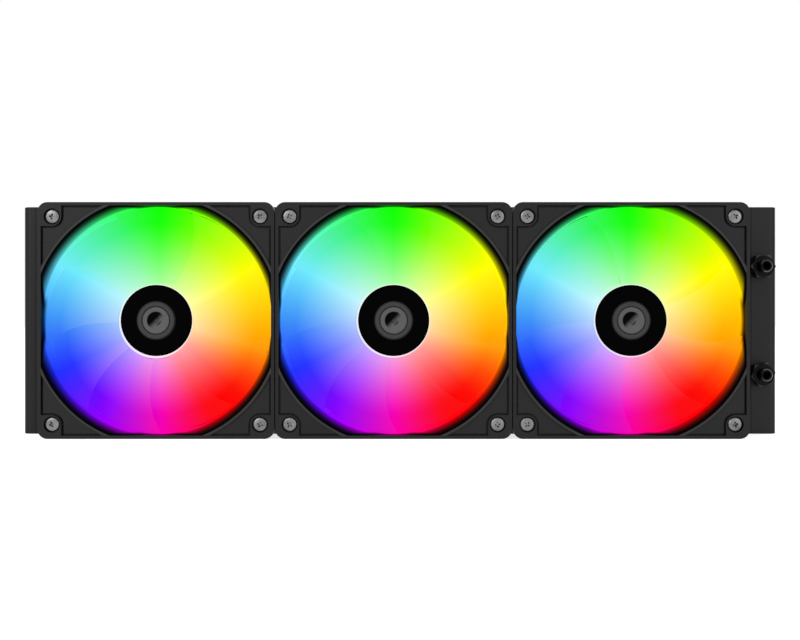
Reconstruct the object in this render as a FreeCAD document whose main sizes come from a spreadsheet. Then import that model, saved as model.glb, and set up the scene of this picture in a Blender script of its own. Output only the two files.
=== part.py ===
import FreeCAD, Part
import math
import os

import Sketcher

# Radiator with three fans, millimetres. Each piece is drawn lying on its back: X runs along the
# radiator, Y up its face and Z from its back towards the air intake of the fans. Its Placement then
# stands it on its long edge, so that the fans face -Y and Z is up.

doc = FreeCAD.newDocument("LiquidCoolerRadiator")
sizes = doc.addObject("Spreadsheet::Sheet", "Sizes")

DRIVING_SIZES = {
    # fan frame
    "fan_size": 120.0,
    "fan_side_gap": 0.5,
    "fan_depth": 25.0,
    "fan_corner_radius": 5.0,
    "back_flange": 4.0,
    "front_flange": 5.0,
    "duct_wall": 2.0,
    "duct_relief": 0.4,
    "bell_reach": 4.6,
    "outlet_reach": 1.0,
    "outlet_rise": 3.0,
    "rim_width": 1.9,
    "lip_width": 1.5,
    "corner_recess": 0.8,
    "corner_groove": 1.0,
    "corner_groove_depth": 2.2,
    "screw_boss": 4.8,
    "strut_count": 4,
    "strut_width": 4.2,
    "strut_top": 4.0,
    "base_back": 0.5,
    "base_floor": 3.0,
    "base_wall": 0.9,
    "base_rim": 2.4,
    "board_seat": 0.4,
    "board_seat_width": 2.2,
    "core_seat_width": 1.0,
    "tube_wall": 1.0,
    "lead_slot": 3.2,
    # fan screws
    "screw_inset": 7.5,
    "screw_radius": 1.75,
    "screw_reach": 7.4,
    "head_radius": 3.5,
    "head_height": 2.1,
    "head_crown": 0.9,
    "crown_slope": 48.0,
    "head_well": 2.4,
    "head_room": 0.6,
    "cross_width": 0.95,
    "cross_length": 3.8,
    "cross_depth": 1.3,
    "screw_hole_room": 0.4,
    "thread_room": 0.03,
    # rotor
    "tip_gap": 0.6,
    "blade_count": 9,
    "blade_turn": 46.0,
    "blade_sweep": 15.0,
    "blade_set_back": 3.2,
    "blade_thickness": 1.9,
    "blade_camber": 0.22,
    "blade_root_depth": 0.8,
    "hub_radius": 19.4,
    "hub_wall": 1.8,
    "hub_top": 1.75,
    "skirt_gap": 0.7,
    "cap_radius": 18.0,
    "cap_thickness": 1.4,
    "cap_edge": 0.5,
    "boss_radius": 9.5,
    "boss_rise": 0.6,
    "groove_radius": 7.0,
    "groove_width": 0.9,
    "dish_radius": 4.4,
    "dish_depth": 1.3,
    "nub_radius": 1.4,
    "nub_rise": 0.7,
    "front_gap": 0.1,
    "yoke_wall": 0.8,
    "yoke_lift": 0.6,
    "yoke_boss_radius": 3.0,
    "yoke_boss_length": 2.6,
    "magnet_thickness": 1.5,
    "magnet_inset": 0.6,
    "magnet_end_gap": 1.73,
    "shaft_radius": 1.5,
    "shaft_end_gap": 0.1,
    "clip_thickness": 0.5,
    "clip_width": 1.2,
    "clip_groove_depth": 0.35,
    "clip_gap": 0.25,
    "clip_floor_gap": 0.5,
    "fit_gap": 0.02,
    "running_gap": 0.03,
    # stator
    "sleeve_wall": 2.0,
    "sleeve_chamfer": 0.3,
    "sleeve_end_gap": 1.08,
    "sleeve_proud": 0.25,
    "air_gap": 0.6,
    "core_lift": 3.3,
    "core_ring_width": 2.0,
    "pole_count": 4,
    "pole_neck": 3.0,
    "pole_shoe": 1.8,
    "pole_shoe_angle": 76.0,
    "coil_build": 2.0,
    "coil_end_gap": 0.3,
    "board_thickness": 1.2,
    "board_gap": 0.2,
    "lamp_count": 8,
    "lamp_side": 1.6,
    "lamp_height": 0.7,
    # radiator
    "fan_count": 3,
    "left_strip": 16.5,
    "right_strip": 22.9,
    "radiator_depth": 27.0,
    "left_tank_width": 15.2,
    "right_tank_width": 21.2,
    "tank_wall": 2.0,
    "tank_edge_radius": 4.0,
    "header_thickness": 1.5,
    "header_inset": 0.5,
    "rail_width": 13.0,
    "rail_sheet": 1.5,
    "rail_lip": 7.5,
    "flat_tube_count": 12,
    "flat_tube_thickness": 2.0,
    "flat_tube_wall": 0.35,
    "flat_tube_reach": 2.0,
    "core_set_back": 2.5,
    "core_gap": 0.02,
    "fin_pitch": 3.24,
    "fin_sheet": 0.5,
    "divider_thickness": 1.6,
    # hose fittings
    "port_spacing": 56.8,
    "port_inset": 9.2,
    "port_boss_radius": 6.4,
    "port_boss_depth": 4.0,
    "thread_radius": 4.0,
    "thread_length": 6.5,
    "hexagon": 11.3,
    "hexagon_height": 5.5,
    "lower_hexagon_turn": 12.0,
    "hexagon_bevel": 0.6,
    "collar_radius": 3.6,
    "collar_height": 1.0,
    "nozzle_radius": 2.75,
    "nozzle_length": 3.5,
    "barb_rise": 0.5,
    "barb_length": 1.6,
    "fitting_bore": 2.0,
    "seal_section": 0.55,
    "seal_squeeze": 0.02,
}
for row, (alias, number) in enumerate(DRIVING_SIZES.items(), 1):
    sizes.set(f"A{row}", str(number))
    sizes.setAlias(f"A{row}", alias)
doc.recompute()

FRONT = FreeCAD.Vector(0, 0, 1)
STAND_UP = FreeCAD.Rotation(FreeCAD.Vector(1, 0, 0), 90)


def sized(words):
    """Turn the size names of an expression into references to the sheet."""
    parts = []
    for word in words.split():
        bare = word.strip("()")
        parts.append(word.replace(bare, f"Sizes.{bare}") if bare in DRIVING_SIZES else word)
    return " ".join(parts)


def value(expression):
    return float(sizes.evalExpression(expression))


# Places and radii that several pieces share, worked out from the driving sizes.
half_fan = sized("( fan_size / 2 )")
frame_edge = sized("( ( fan_size - fan_side_gap ) / 2 )")
duct_radius = sized("( fan_size / 2 - duct_wall )")
rim_inside = sized("( fan_size / 2 - rim_width )")
screw_offset = sized("( fan_size / 2 - screw_inset )")
bell_radius = sized("( fan_size / 2 - duct_wall + bell_reach )")
base_top = sized("( base_back + base_floor )")
base_rim_top = sized("( base_back + base_floor + base_rim )")
tube_inside = sized("( shaft_radius + running_gap + sleeve_wall + fit_gap )")
tube_outside = sized("( shaft_radius + running_gap + sleeve_wall + fit_gap + tube_wall )")
core_seat = f"( {tube_outside} + Sizes.core_seat_width )"
board_seat = f"( {core_seat} + Sizes.board_gap + Sizes.board_seat_width )"
board_bottom = f"( {base_top} + Sizes.board_seat )"
board_top = f"( {board_bottom} + Sizes.board_thickness )"
core_bottom = f"( {board_top} + Sizes.core_lift )"
floor_inside = sized("( base_back + base_floor / 2 )")
clip_bottom = f"( {floor_inside} + Sizes.clip_floor_gap )"
clip_top = f"( {clip_bottom} + Sizes.clip_thickness )"
sleeve_bottom = f"( {clip_top} + Sizes.clip_gap )"
base_radius = sized("( hub_radius + base_wall + skirt_gap / 2 )")
board_radius = f"( {base_radius} - Sizes.base_wall - Sizes.board_gap )"
skirt_bottom = f"( {base_rim_top} + Sizes.skirt_gap )"
cap_bottom = sized("( fan_depth - front_gap - boss_rise - cap_thickness )")
hub_top_inside = f"( {cap_bottom} - Sizes.hub_top )"
hub_inside = sized("( hub_radius - hub_wall )")
yoke_radius = f"( {hub_inside} - Sizes.fit_gap )"
yoke_inside = f"( {yoke_radius} - Sizes.yoke_wall )"
yoke_bottom = f"( {skirt_bottom} + Sizes.yoke_lift )"
yoke_top = f"( {hub_top_inside} - Sizes.fit_gap )"
yoke_ceiling = f"( {yoke_top} - Sizes.yoke_wall )"
yoke_boss_bottom = f"( {yoke_ceiling} - Sizes.yoke_boss_length )"
magnet_bottom = f"( {yoke_bottom} + Sizes.magnet_inset )"
magnet_top = f"( {yoke_ceiling} - Sizes.magnet_end_gap )"
magnet_radius = f"( {yoke_inside} - Sizes.fit_gap )"
magnet_inside = f"( {magnet_radius} - Sizes.magnet_thickness )"
core_radius = f"( {magnet_inside} - Sizes.air_gap )"
sleeve_top = f"( {yoke_boss_bottom} - Sizes.sleeve_end_gap )"
core_top = f"( {sleeve_top} - Sizes.sleeve_proud )"
core_height = f"( {core_top} - {core_bottom} )"
shaft_bottom = f"( {floor_inside} + Sizes.shaft_end_gap )"
clip_neck = sized("( shaft_radius - clip_groove_depth )")

radiator_length = sized("( fan_count * fan_size + left_strip + right_strip )")
radiator_height = sized("fan_size")
total_depth = sized("( radiator_depth + fan_depth )")
left_end = f"( 0 - {radiator_length} / 2 )"
right_end = f"( {radiator_length} / 2 )"
first_fan = f"( {left_end} + Sizes.left_strip + {half_fan} )"
left_header = f"( {left_end} + Sizes.left_tank_width )"
right_header = f"( {right_end} - Sizes.right_tank_width )"
core_span = f"( {right_header} - {left_header} )"
core_edge = f"( {half_fan} - Sizes.rail_width )"
all_tubes = sized("flat_tube_count * flat_tube_thickness")
fin_height = f"( ( 2 * {core_edge} - {all_tubes} ) / ( Sizes.flat_tube_count + 1 ) )"
flat_tube_pitch = f"( {fin_height} + Sizes.flat_tube_thickness )"
lowest_tube = f"( 0 - {core_edge} + {fin_height} + Sizes.flat_tube_thickness / 2 )"
mid_depth = sized("( radiator_depth / 2 )")
core_depth = sized("( radiator_depth - 2 * core_set_back )")
port_x = f"( {right_end} - Sizes.port_inset )"
port_y = sized("( port_spacing / 2 )")
hexagon_top = sized("( radiator_depth + hexagon_height )")


def new_body(label):
    body = doc.addObject("PartDesign::Body", label)
    body.Label = label
    return body


def origin_plane(body, role):
    return [feature for feature in body.Origin.OriginFeatures if feature.Role == role][0]


def new_sketch(body, name, lift="0", role="XY_Plane"):
    sketch = body.newObject("Sketcher::SketchObject", name)
    sketch.AttachmentSupport = [(origin_plane(body, role), "")]
    sketch.MapMode = "FlatFace"
    sketch.setExpression("AttachmentOffset.Base.z", lift)
    return sketch


def bind(sketch, kind, place, expression):
    index = sketch.addConstraint(Sketcher.Constraint(kind, *place, value(expression)))
    sketch.setExpression(f"Constraints[{index}]", expression)


def add_circle(sketch, radius, x="0", y="0"):
    centre = FreeCAD.Vector(value(x), value(y), 0)
    circle = sketch.addGeometry(Part.Circle(centre, FRONT, value(radius)))
    bind(sketch, "Radius", (circle,), radius)
    bind(sketch, "DistanceX", (-1, 1, circle, 3), x)
    bind(sketch, "DistanceY", (-1, 1, circle, 3), y)


def arc_between(start, end, radius, bulge):
    """Arc from start to end that bulges to the left (1) or the right (-1) of the way it goes."""
    chord = end - start
    left = FreeCAD.Vector(-chord.y, chord.x, 0).normalize()
    half = chord.Length / 2
    away = math.sqrt(max(radius * radius - half * half, 0.0))
    centre = (start + end) * 0.5 - left * bulge * away
    return Part.Arc(start, centre + left * bulge * radius, end)


def add_outline(sketch, corners):
    """Closed outline. A corner is (x, y), or (x, y, radius, bulge) where an arc follows."""
    points = [FreeCAD.Vector(value(corner[0]), value(corner[1]), 0) for corner in corners]
    lines = []
    for index, corner in enumerate(corners):
        start = points[index]
        end = points[(index + 1) % len(points)]
        if len(corner) == 2:
            lines.append(sketch.addGeometry(Part.LineSegment(start, end)))
            continue
        curve = arc_between(start, end, value(corner[2]), corner[3])
        lines.append(sketch.addGeometry(curve))
    # An arc is stored counter-clockwise, so its first point may be the far end of its stretch.
    ends = []
    for index, line in enumerate(lines):
        first = sketch.getPoint(line, 1)
        begins = first.distanceToPoint(points[index]) < 1e-6
        ends.append((1, 2) if begins else (2, 1))
    for index, line in enumerate(lines):
        following = (index + 1) % len(lines)
        joint = ("Coincident", line, ends[index][1], lines[following], ends[following][0])
        sketch.addConstraint(Sketcher.Constraint(*joint))
        bind(sketch, "DistanceX", (-1, 1, line, ends[index][0]), corners[index][0])
        bind(sketch, "DistanceY", (-1, 1, line, ends[index][0]), corners[index][1])
        if len(corners[index]) > 2:
            bind(sketch, "Radius", (line,), corners[index][2])


def add_rectangle(sketch, left, bottom, right, top):
    add_outline(sketch, [(left, bottom), (right, bottom), (right, top), (left, top)])


def add_rounded_square(sketch, half, radius):
    near = f"( {half} - {radius} )"
    add_outline(sketch, [
        (near, f"-{half}", radius, -1),
        (half, f"-{near}"),
        (half, near, radius, -1),
        (near, half),
        (f"-{near}", half, radius, -1),
        (f"-{half}", near),
        (f"-{half}", f"-{near}", radius, -1),
        (f"-{near}", f"-{half}"),
    ])


def add_slot(sketch, middle_x, middle_y, half_length, half_width):
    """Upright slot with round ends, each end as two quarter arcs."""
    left = f"( {middle_x} - {half_width} )"
    right = f"( {middle_x} + {half_width} )"
    top = f"( {middle_y} + {half_length} )"
    bottom = f"( {middle_y} - {half_length} )"
    shoulder = f"( {middle_y} + {half_length} - {half_width} )"
    foot = f"( {middle_y} - {half_length} + {half_width} )"
    add_outline(sketch, [
        (right, foot),
        (right, shoulder, half_width, -1),
        (middle_x, top, half_width, -1),
        (left, shoulder),
        (left, foot, half_width, -1),
        (middle_x, bottom, half_width, -1),
    ])


def add_pad(body, sketch, name, length):
    pad = body.newObject("PartDesign::Pad", name)
    pad.Profile = sketch
    pad.setExpression("Length", length)
    return pad


def add_pocket(body, sketch, name, depth):
    """Cut from the sketch towards its back."""
    pocket = body.newObject("PartDesign::Pocket", name)
    pocket.Profile = sketch
    pocket.setExpression("Length", depth)
    return pocket


def add_turned(body, name, corners, kind="Revolution"):
    """Turn an outline of (radius, height) points about the piece's own Z axis."""
    sketch = new_sketch(body, f"{name}_outline", role="XZ_Plane")
    add_outline(sketch, corners)
    turned = body.newObject(f"PartDesign::{kind}", name)
    turned.Profile = sketch
    turned.ReferenceAxis = (sketch, ["V_Axis"])
    turned.Angle = 360
    return turned


def add_ring_of(body, name, originals, sketch, count):
    pattern = body.newObject("PartDesign::PolarPattern", name)
    pattern.Originals = originals
    pattern.Axis = (sketch, ["N_Axis"])
    pattern.Angle = 360
    pattern.setExpression("Occurrences", count)
    body.Tip = pattern
    return pattern


def add_row_of(body, name, originals, sketch, axis, count, pitch):
    pattern = body.newObject("PartDesign::LinearPattern", name)
    pattern.Originals = originals
    pattern.Direction = (sketch, [axis])
    pattern.setExpression("Length", f"( {count} - 1 ) * {pitch}")
    pattern.setExpression("Occurrences", count)
    body.Tip = pattern
    return pattern


def stand(piece, x, depth):
    """Stand a piece up with its own origin at x and at a depth counted from the radiator's back."""
    piece.Placement = FreeCAD.Placement(FreeCAD.Vector(0, 0, 0), STAND_UP)
    piece.setExpression("Placement.Base.x", x)
    piece.setExpression("Placement.Base.y", f"{total_depth} / 2 - {depth}")
    piece.setExpression("Placement.Base.z", f"{radiator_height} / 2")
    return piece


def make_fan_frame(label):
    """Frame in one moulding: flanges, duct, bell mouth, struts, motor base and bearing tube."""
    body = new_body(label)
    flange_start = sized("( fan_depth - front_flange )")

    plate = new_sketch(body, "back_flange_outline")
    add_rounded_square(plate, frame_edge, "Sizes.fan_corner_radius")
    add_pad(body, plate, "back_flange_plate", "Sizes.back_flange")

    duct = new_sketch(body, "duct_outline")
    add_circle(duct, sized("( fan_size / 2 - duct_relief )"))
    add_pad(body, duct, "duct", "Sizes.fan_depth")

    front = new_sketch(body, "front_flange_outline", flange_start)
    add_rounded_square(front, frame_edge, "Sizes.fan_corner_radius")
    add_pad(body, front, "front_flange_plate", "Sizes.front_flange")

    bore = new_sketch(body, "duct_bore", "Sizes.fan_depth")
    add_circle(bore, duct_radius)
    add_pocket(body, bore, "duct_hollow", "Sizes.fan_depth")

    # The bell mouth is an arc that leaves the duct along its wall and opens onto the front.
    bell_arc = sized("( ( bell_reach ^ 2 + front_flange ^ 2 ) / ( 2 * bell_reach ) )")
    inside = f"( {duct_radius} - Sizes.duct_wall )"
    add_turned(body, "bell_mouth", [
        (duct_radius, flange_start, bell_arc, 1),
        (bell_radius, "Sizes.fan_depth"),
        (inside, "Sizes.fan_depth"),
        (inside, flange_start),
    ], "Groove")
    add_turned(body, "outlet_taper", [
        (inside, "0"),
        (sized("( fan_size / 2 - duct_wall + outlet_reach )"), "0"),
        (duct_radius, "Sizes.outlet_rise"),
        (inside, "Sizes.outlet_rise"),
    ], "Groove")

    rim = new_sketch(body, "rim_outline", flange_start)
    add_rounded_square(rim, frame_edge, "Sizes.fan_corner_radius")
    add_rounded_square(rim, rim_inside, sized("( fan_corner_radius - rim_width )"))
    add_pad(body, rim, "outer_rim", "Sizes.front_flange")

    # Each corner plate lies lower than the rim, the lip round the opening and the screw boss.
    lip_edge = f"( {bell_radius} + Sizes.lip_width )"
    lip_start = f"( sqrt( {lip_edge} ^ 2 - {rim_inside} ^ 2 ) )"
    boss_side = f"( {screw_offset} - Sizes.screw_boss )"
    corner = new_sketch(body, "corner_plate_outline", "Sizes.fan_depth")
    add_outline(corner, [
        (lip_start, rim_inside),
        (boss_side, rim_inside),
        (boss_side, screw_offset, "Sizes.screw_boss", -1),
        (screw_offset, boss_side),
        (rim_inside, boss_side),
        (rim_inside, lip_start, lip_edge, -1),
    ])
    lowered = add_pocket(body, corner, "corner_plate", "Sizes.corner_recess")

    # A deeper groove follows the rim and goes round the boss, and ends at the lip on both sides.
    groove_side = f"( {rim_inside} - Sizes.corner_groove )"
    groove_start = f"( sqrt( {lip_edge} ^ 2 - {groove_side} ^ 2 ) )"
    groove_curve = sized("( screw_boss + corner_groove )")
    groove_turn = f"( {screw_offset} - {groove_curve} )"
    groove = new_sketch(body, "corner_groove_outline", "Sizes.fan_depth")
    add_outline(groove, [
        (lip_start, rim_inside),
        (boss_side, rim_inside),
        (boss_side, screw_offset, "Sizes.screw_boss", -1),
        (screw_offset, boss_side),
        (rim_inside, boss_side),
        (rim_inside, lip_start, lip_edge, -1),
        (groove_side, groove_start),
        (groove_side, groove_turn),
        (screw_offset, groove_turn, groove_curve, 1),
        (groove_turn, screw_offset),
        (groove_turn, groove_side),
        (groove_start, groove_side, lip_edge, -1),
    ])
    grooved = add_pocket(body, groove, "corner_groove", "Sizes.corner_groove_depth")
    add_ring_of(body, "corner_plates", [lowered, grooved], corner, "4")

    well = new_sketch(body, "screw_head_well", "Sizes.fan_depth")
    add_circle(well, sized("( head_radius + head_room )"), screw_offset, screw_offset)
    well_cut = add_pocket(body, well, "head_well", "Sizes.head_well")
    hole = new_sketch(body, "screw_hole", "Sizes.fan_depth")
    add_circle(hole, sized("( screw_radius + screw_hole_room )"), screw_offset, screw_offset)
    hole_cut = add_pocket(body, hole, "clearance_hole", "Sizes.fan_depth")
    add_ring_of(body, "screw_seats", [well_cut, hole_cut], hole, "4")

    wall_inside = f"( {base_radius} - Sizes.base_wall )"
    strut = new_sketch(body, "strut_outline", "Sizes.base_back")
    half_strut = sized("( strut_width / 2 )")
    strut_end = sized("( fan_size / 2 - duct_wall / 2 )")
    strut_start = f"( {base_radius} - Sizes.base_wall / 2 )"
    add_rectangle(strut, strut_start, f"-{half_strut}", strut_end, half_strut)
    arm = add_pad(body, strut, "strut", sized("( strut_top - base_back )"))
    add_ring_of(body, "struts", [arm], strut, "Sizes.strut_count")

    add_turned(body, "motor_base", [
        ("0", "Sizes.base_back"),
        (base_radius, "Sizes.base_back"),
        (base_radius, base_rim_top),
        (wall_inside, base_rim_top),
        (wall_inside, base_top),
        (board_seat, base_top),
        (board_seat, board_bottom),
        (core_seat, board_bottom),
        (core_seat, core_bottom),
        (tube_outside, core_bottom),
        (tube_outside, sleeve_top),
        (tube_inside, sleeve_top),
        (tube_inside, floor_inside),
        ("0", floor_inside),
    ])

    slot = new_sketch(body, "lead_slot_outline", base_rim_top)
    half_slot = sized("( lead_slot / 2 )")
    add_rectangle(slot, f"-{half_slot}", f"( {wall_inside} - Sizes.base_wall )",
                  half_slot, f"( {base_radius} + Sizes.base_wall )")
    add_pocket(body, slot, "lead_slot_cut", "Sizes.base_rim")
    return body


def make_impeller_shape():
    """Hub cup and pitched, swept blades in one moulding."""
    hub_radius = value("Sizes.hub_radius")
    bottom = value(skirt_bottom)
    top = value(cap_bottom)
    cup = Part.makeCylinder(hub_radius, top - bottom, FreeCAD.Vector(0, 0, bottom))
    hollow_height = value(hub_top_inside) - bottom
    cup = cup.cut(Part.makeCylinder(value(hub_inside), hollow_height, FreeCAD.Vector(0, 0, bottom)))

    root = hub_radius - value("Sizes.blade_root_depth")
    tip = value(duct_radius) - value("Sizes.tip_gap")
    turn = math.radians(value("Sizes.blade_turn"))
    sweep = math.radians(value("Sizes.blade_sweep"))
    thickness = value("Sizes.blade_thickness")
    back = value(skirt_bottom)
    front = value("Sizes.fan_depth - Sizes.blade_set_back")
    rise = front - back - thickness
    camber = value("Sizes.blade_camber")
    across = 7
    along = 11
    grid = []
    for i in range(across):
        out = i / (across - 1)
        radius = root + (tip - root) * out
        row = []
        for j in range(along):
            part_way = j / (along - 1)
            angle = (part_way - 0.5) * turn + sweep * (out * out - 0.4 * out)
            height = back + rise * (part_way + camber * part_way * (1 - part_way))
            row.append(FreeCAD.Vector(radius * math.cos(angle), radius * math.sin(angle), height))
        grid.append(row)
    surface = Part.BSplineSurface()
    surface.interpolate(grid)
    blade = surface.toShape().extrude(FreeCAD.Vector(0, 0, thickness))
    if blade.Volume < 0:
        blade.reverse()
    blades = []
    count = int(value("Sizes.blade_count"))
    for number in range(count):
        turned = blade.copy()
        turned.rotate(FreeCAD.Vector(0, 0, 0), FRONT, 360.0 * number / count)
        blades.append(turned)
    moulding = cup
    for one in blades:
        moulding = moulding.fuse(one)
    return moulding


def make_hub_cap(label):
    """Black cover of the hub: a low boss with a ring groove, and a dish round a small nub."""
    body = new_body(label)
    face = sized("( fan_depth - front_gap - boss_rise )")
    top = sized("( fan_depth - front_gap )")
    edge = "Sizes.cap_edge"
    boss_edge = "Sizes.boss_rise"
    groove_outside = sized("( groove_radius + groove_width / 2 )")
    groove_inside = sized("( groove_radius - groove_width / 2 )")
    groove_floor = sized("( fan_depth - front_gap - groove_width / 2 )")
    dish_floor = f"( {top} - Sizes.dish_depth )"
    dish_curve = sized("( ( dish_radius ^ 2 + dish_depth ^ 2 ) / ( 2 * dish_depth ) )")
    nub_foot = f"( {dish_floor} + {dish_curve} - sqrt( {dish_curve} ^ 2 - Sizes.nub_radius ^ 2 ) )"
    nub_curve = sized("( ( nub_radius ^ 2 + nub_rise ^ 2 ) / ( 2 * nub_rise ) )")
    add_turned(body, "cap", [
        ("0", cap_bottom),
        ("Sizes.cap_radius", cap_bottom),
        ("Sizes.cap_radius", f"( {face} - {edge} )", edge, -1),
        (f"( Sizes.cap_radius - {edge} )", face),
        ("Sizes.boss_radius", face, boss_edge, -1),
        (f"( Sizes.boss_radius - {boss_edge} )", top),
        (groove_outside, top),
        ("Sizes.groove_radius", groove_floor),
        (groove_inside, top),
        ("Sizes.dish_radius", top, dish_curve, 1),
        ("Sizes.nub_radius", nub_foot, nub_curve, -1),
        ("0", f"( {nub_foot} + Sizes.nub_rise )"),
    ])
    return body


def make_rotor_yoke(label):
    """Steel cup that carries the magnet and holds the shaft in its middle."""
    body = new_body(label)
    bore = sized("( shaft_radius + fit_gap )")
    add_turned(body, "yoke", [
        (yoke_inside, yoke_bottom),
        (yoke_radius, yoke_bottom),
        (yoke_radius, yoke_top),
        (bore, yoke_top),
        (bore, yoke_boss_bottom),
        ("Sizes.yoke_boss_radius", yoke_boss_bottom),
        ("Sizes.yoke_boss_radius", yoke_ceiling),
        (yoke_inside, yoke_ceiling),
    ])
    return body


def make_magnet_ring(label):
    body = new_body(label)
    ring = new_sketch(body, "magnet_outline", magnet_bottom)
    add_circle(ring, magnet_radius)
    add_circle(ring, magnet_inside)
    add_pad(body, ring, "magnet", f"( {magnet_top} - {magnet_bottom} )")
    return body


def make_shaft(label):
    """Ground shaft with a neck for the retaining clip near its lower end."""
    body = new_body(label)
    add_turned(body, "shaft", [
        ("0", shaft_bottom),
        ("Sizes.shaft_radius", shaft_bottom),
        ("Sizes.shaft_radius", clip_bottom),
        (clip_neck, clip_bottom),
        (clip_neck, clip_top),
        ("Sizes.shaft_radius", clip_top),
        ("Sizes.shaft_radius", yoke_top),
        ("0", yoke_top),
    ])
    return body


def make_retaining_clip(label):
    """Split ring that snaps into the shaft's neck below the bearing sleeve."""
    body = new_body(label)
    ring = new_sketch(body, "clip_outline", clip_bottom)
    outside = f"( {clip_neck} + Sizes.fit_gap + Sizes.clip_width )"
    add_circle(ring, outside)
    add_circle(ring, f"( {clip_neck} + Sizes.fit_gap )")
    add_pad(body, ring, "clip", "Sizes.clip_thickness")
    split = new_sketch(body, "clip_split", clip_top)
    beyond = f"( {outside} + Sizes.clip_width )"
    add_rectangle(split, "0", f"( -{clip_neck} / 2 )", beyond, f"( {clip_neck} / 2 )")
    add_pocket(body, split, "split", "Sizes.clip_thickness")
    return body


def make_bearing_sleeve(label):
    body = new_body(label)
    inside = sized("( shaft_radius + running_gap )")
    outside = sized("( shaft_radius + running_gap + sleeve_wall )")
    bevel = "Sizes.sleeve_chamfer"
    add_turned(body, "sleeve", [
        (f"( {inside} + {bevel} )", sleeve_bottom),
        (f"( {outside} - {bevel} )", sleeve_bottom),
        (outside, f"( {sleeve_bottom} + {bevel} )"),
        (outside, f"( {sleeve_top} - {bevel} )"),
        (f"( {outside} - {bevel} )", sleeve_top),
        (f"( {inside} + {bevel} )", sleeve_top),
        (inside, f"( {sleeve_top} - {bevel} )"),
        (inside, f"( {sleeve_bottom} + {bevel} )"),
    ])
    return body


def make_stator_core(label):
    """Laminated stack: a ring on the bearing tube and T-shaped poles."""
    body = new_body(label)
    ring_radius = f"( {tube_outside} + Sizes.fit_gap + Sizes.core_ring_width )"
    shoe_inside = f"( {core_radius} - Sizes.pole_shoe )"
    half_neck = sized("( pole_neck / 2 )")
    half_angle = sized("( pole_shoe_angle / 2 ) * 1 deg")
    ring = new_sketch(body, "core_ring_outline", core_bottom)
    add_circle(ring, ring_radius)
    add_circle(ring, f"( {tube_outside} + Sizes.fit_gap )")
    add_pad(body, ring, "core_ring", core_height)
    pole = new_sketch(body, "pole_outline", core_bottom)
    tip_x = f"( {core_radius} * cos( {half_angle} ) )"
    tip_y = f"( {core_radius} * sin( {half_angle} ) )"
    heel_x = f"( {shoe_inside} * cos( {half_angle} ) )"
    heel_y = f"( {shoe_inside} * sin( {half_angle} ) )"
    neck_end = f"( sqrt( {shoe_inside} ^ 2 - {half_neck} ^ 2 ) )"
    neck_start = f"( {ring_radius} - Sizes.core_ring_width / 2 )"
    add_outline(pole, [
        (neck_start, f"-{half_neck}"),
        (neck_end, f"-{half_neck}", shoe_inside, 1),
        (heel_x, f"-{heel_y}"),
        (tip_x, f"-{tip_y}", core_radius, -1),
        (tip_x, tip_y),
        (heel_x, heel_y, shoe_inside, 1),
        (neck_end, half_neck),
        (neck_start, half_neck),
    ])
    arm = add_pad(body, pole, "pole", core_height)
    add_ring_of(body, "poles", [arm], pole, "Sizes.pole_count")
    return body


def make_stator_windings(label):
    """One coil round the neck of each pole."""
    body = new_body(label)
    ring_radius = f"( {tube_outside} + Sizes.fit_gap + Sizes.core_ring_width )"
    coil_start = f"( {ring_radius} + Sizes.coil_end_gap )"
    shoe_inside = f"( {core_radius} - Sizes.pole_shoe )"
    coil_inside = sized("( pole_neck / 2 + fit_gap )")
    coil_outside = sized("( pole_neck / 2 + fit_gap + coil_build )")
    # A coil ends where its outer corner would reach the curved shoe.
    coil_end = f"( sqrt( {shoe_inside} ^ 2 - {coil_outside} ^ 2 ) - Sizes.coil_end_gap )"
    coil = new_sketch(body, "coil_outline", coil_start, role="YZ_Plane")
    bottom = f"( {core_bottom} - Sizes.fit_gap )"
    top = f"( {core_top} + Sizes.fit_gap )"
    add_rectangle(coil, f"-{coil_outside}", f"( {bottom} - Sizes.coil_build )",
                  coil_outside, f"( {top} + Sizes.coil_build )")
    add_rectangle(coil, f"-{coil_inside}", bottom, coil_inside, top)
    turn = add_pad(body, coil, "coil", f"( {coil_end} - {coil_start} )")
    centre = new_sketch(body, "coil_axis")
    add_ring_of(body, "coils", [turn], centre, "Sizes.pole_count")
    return body


def make_circuit_board(label):
    body = new_body(label)
    board = new_sketch(body, "board_outline", board_bottom)
    add_circle(board, board_radius)
    add_circle(board, f"( {core_seat} + Sizes.board_gap )")
    add_pad(body, board, "board", "Sizes.board_thickness")
    return body


def make_lamp_group(label):
    """Ring of small lamps at the edge of the board, under the wall of the clear hub."""
    body = new_body(label)
    lamp = new_sketch(body, "lamp_outline", board_top)
    half_side = sized("( lamp_side / 2 )")
    middle = sized("( hub_radius - hub_wall / 2 )")
    add_rectangle(lamp, f"( {middle} - {half_side} )", f"-{half_side}",
                  f"( {middle} + {half_side} )", half_side)
    one = add_pad(body, lamp, "lamp", "Sizes.lamp_height")
    add_ring_of(body, "lamps", [one], lamp, "Sizes.lamp_count")
    return body


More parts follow.
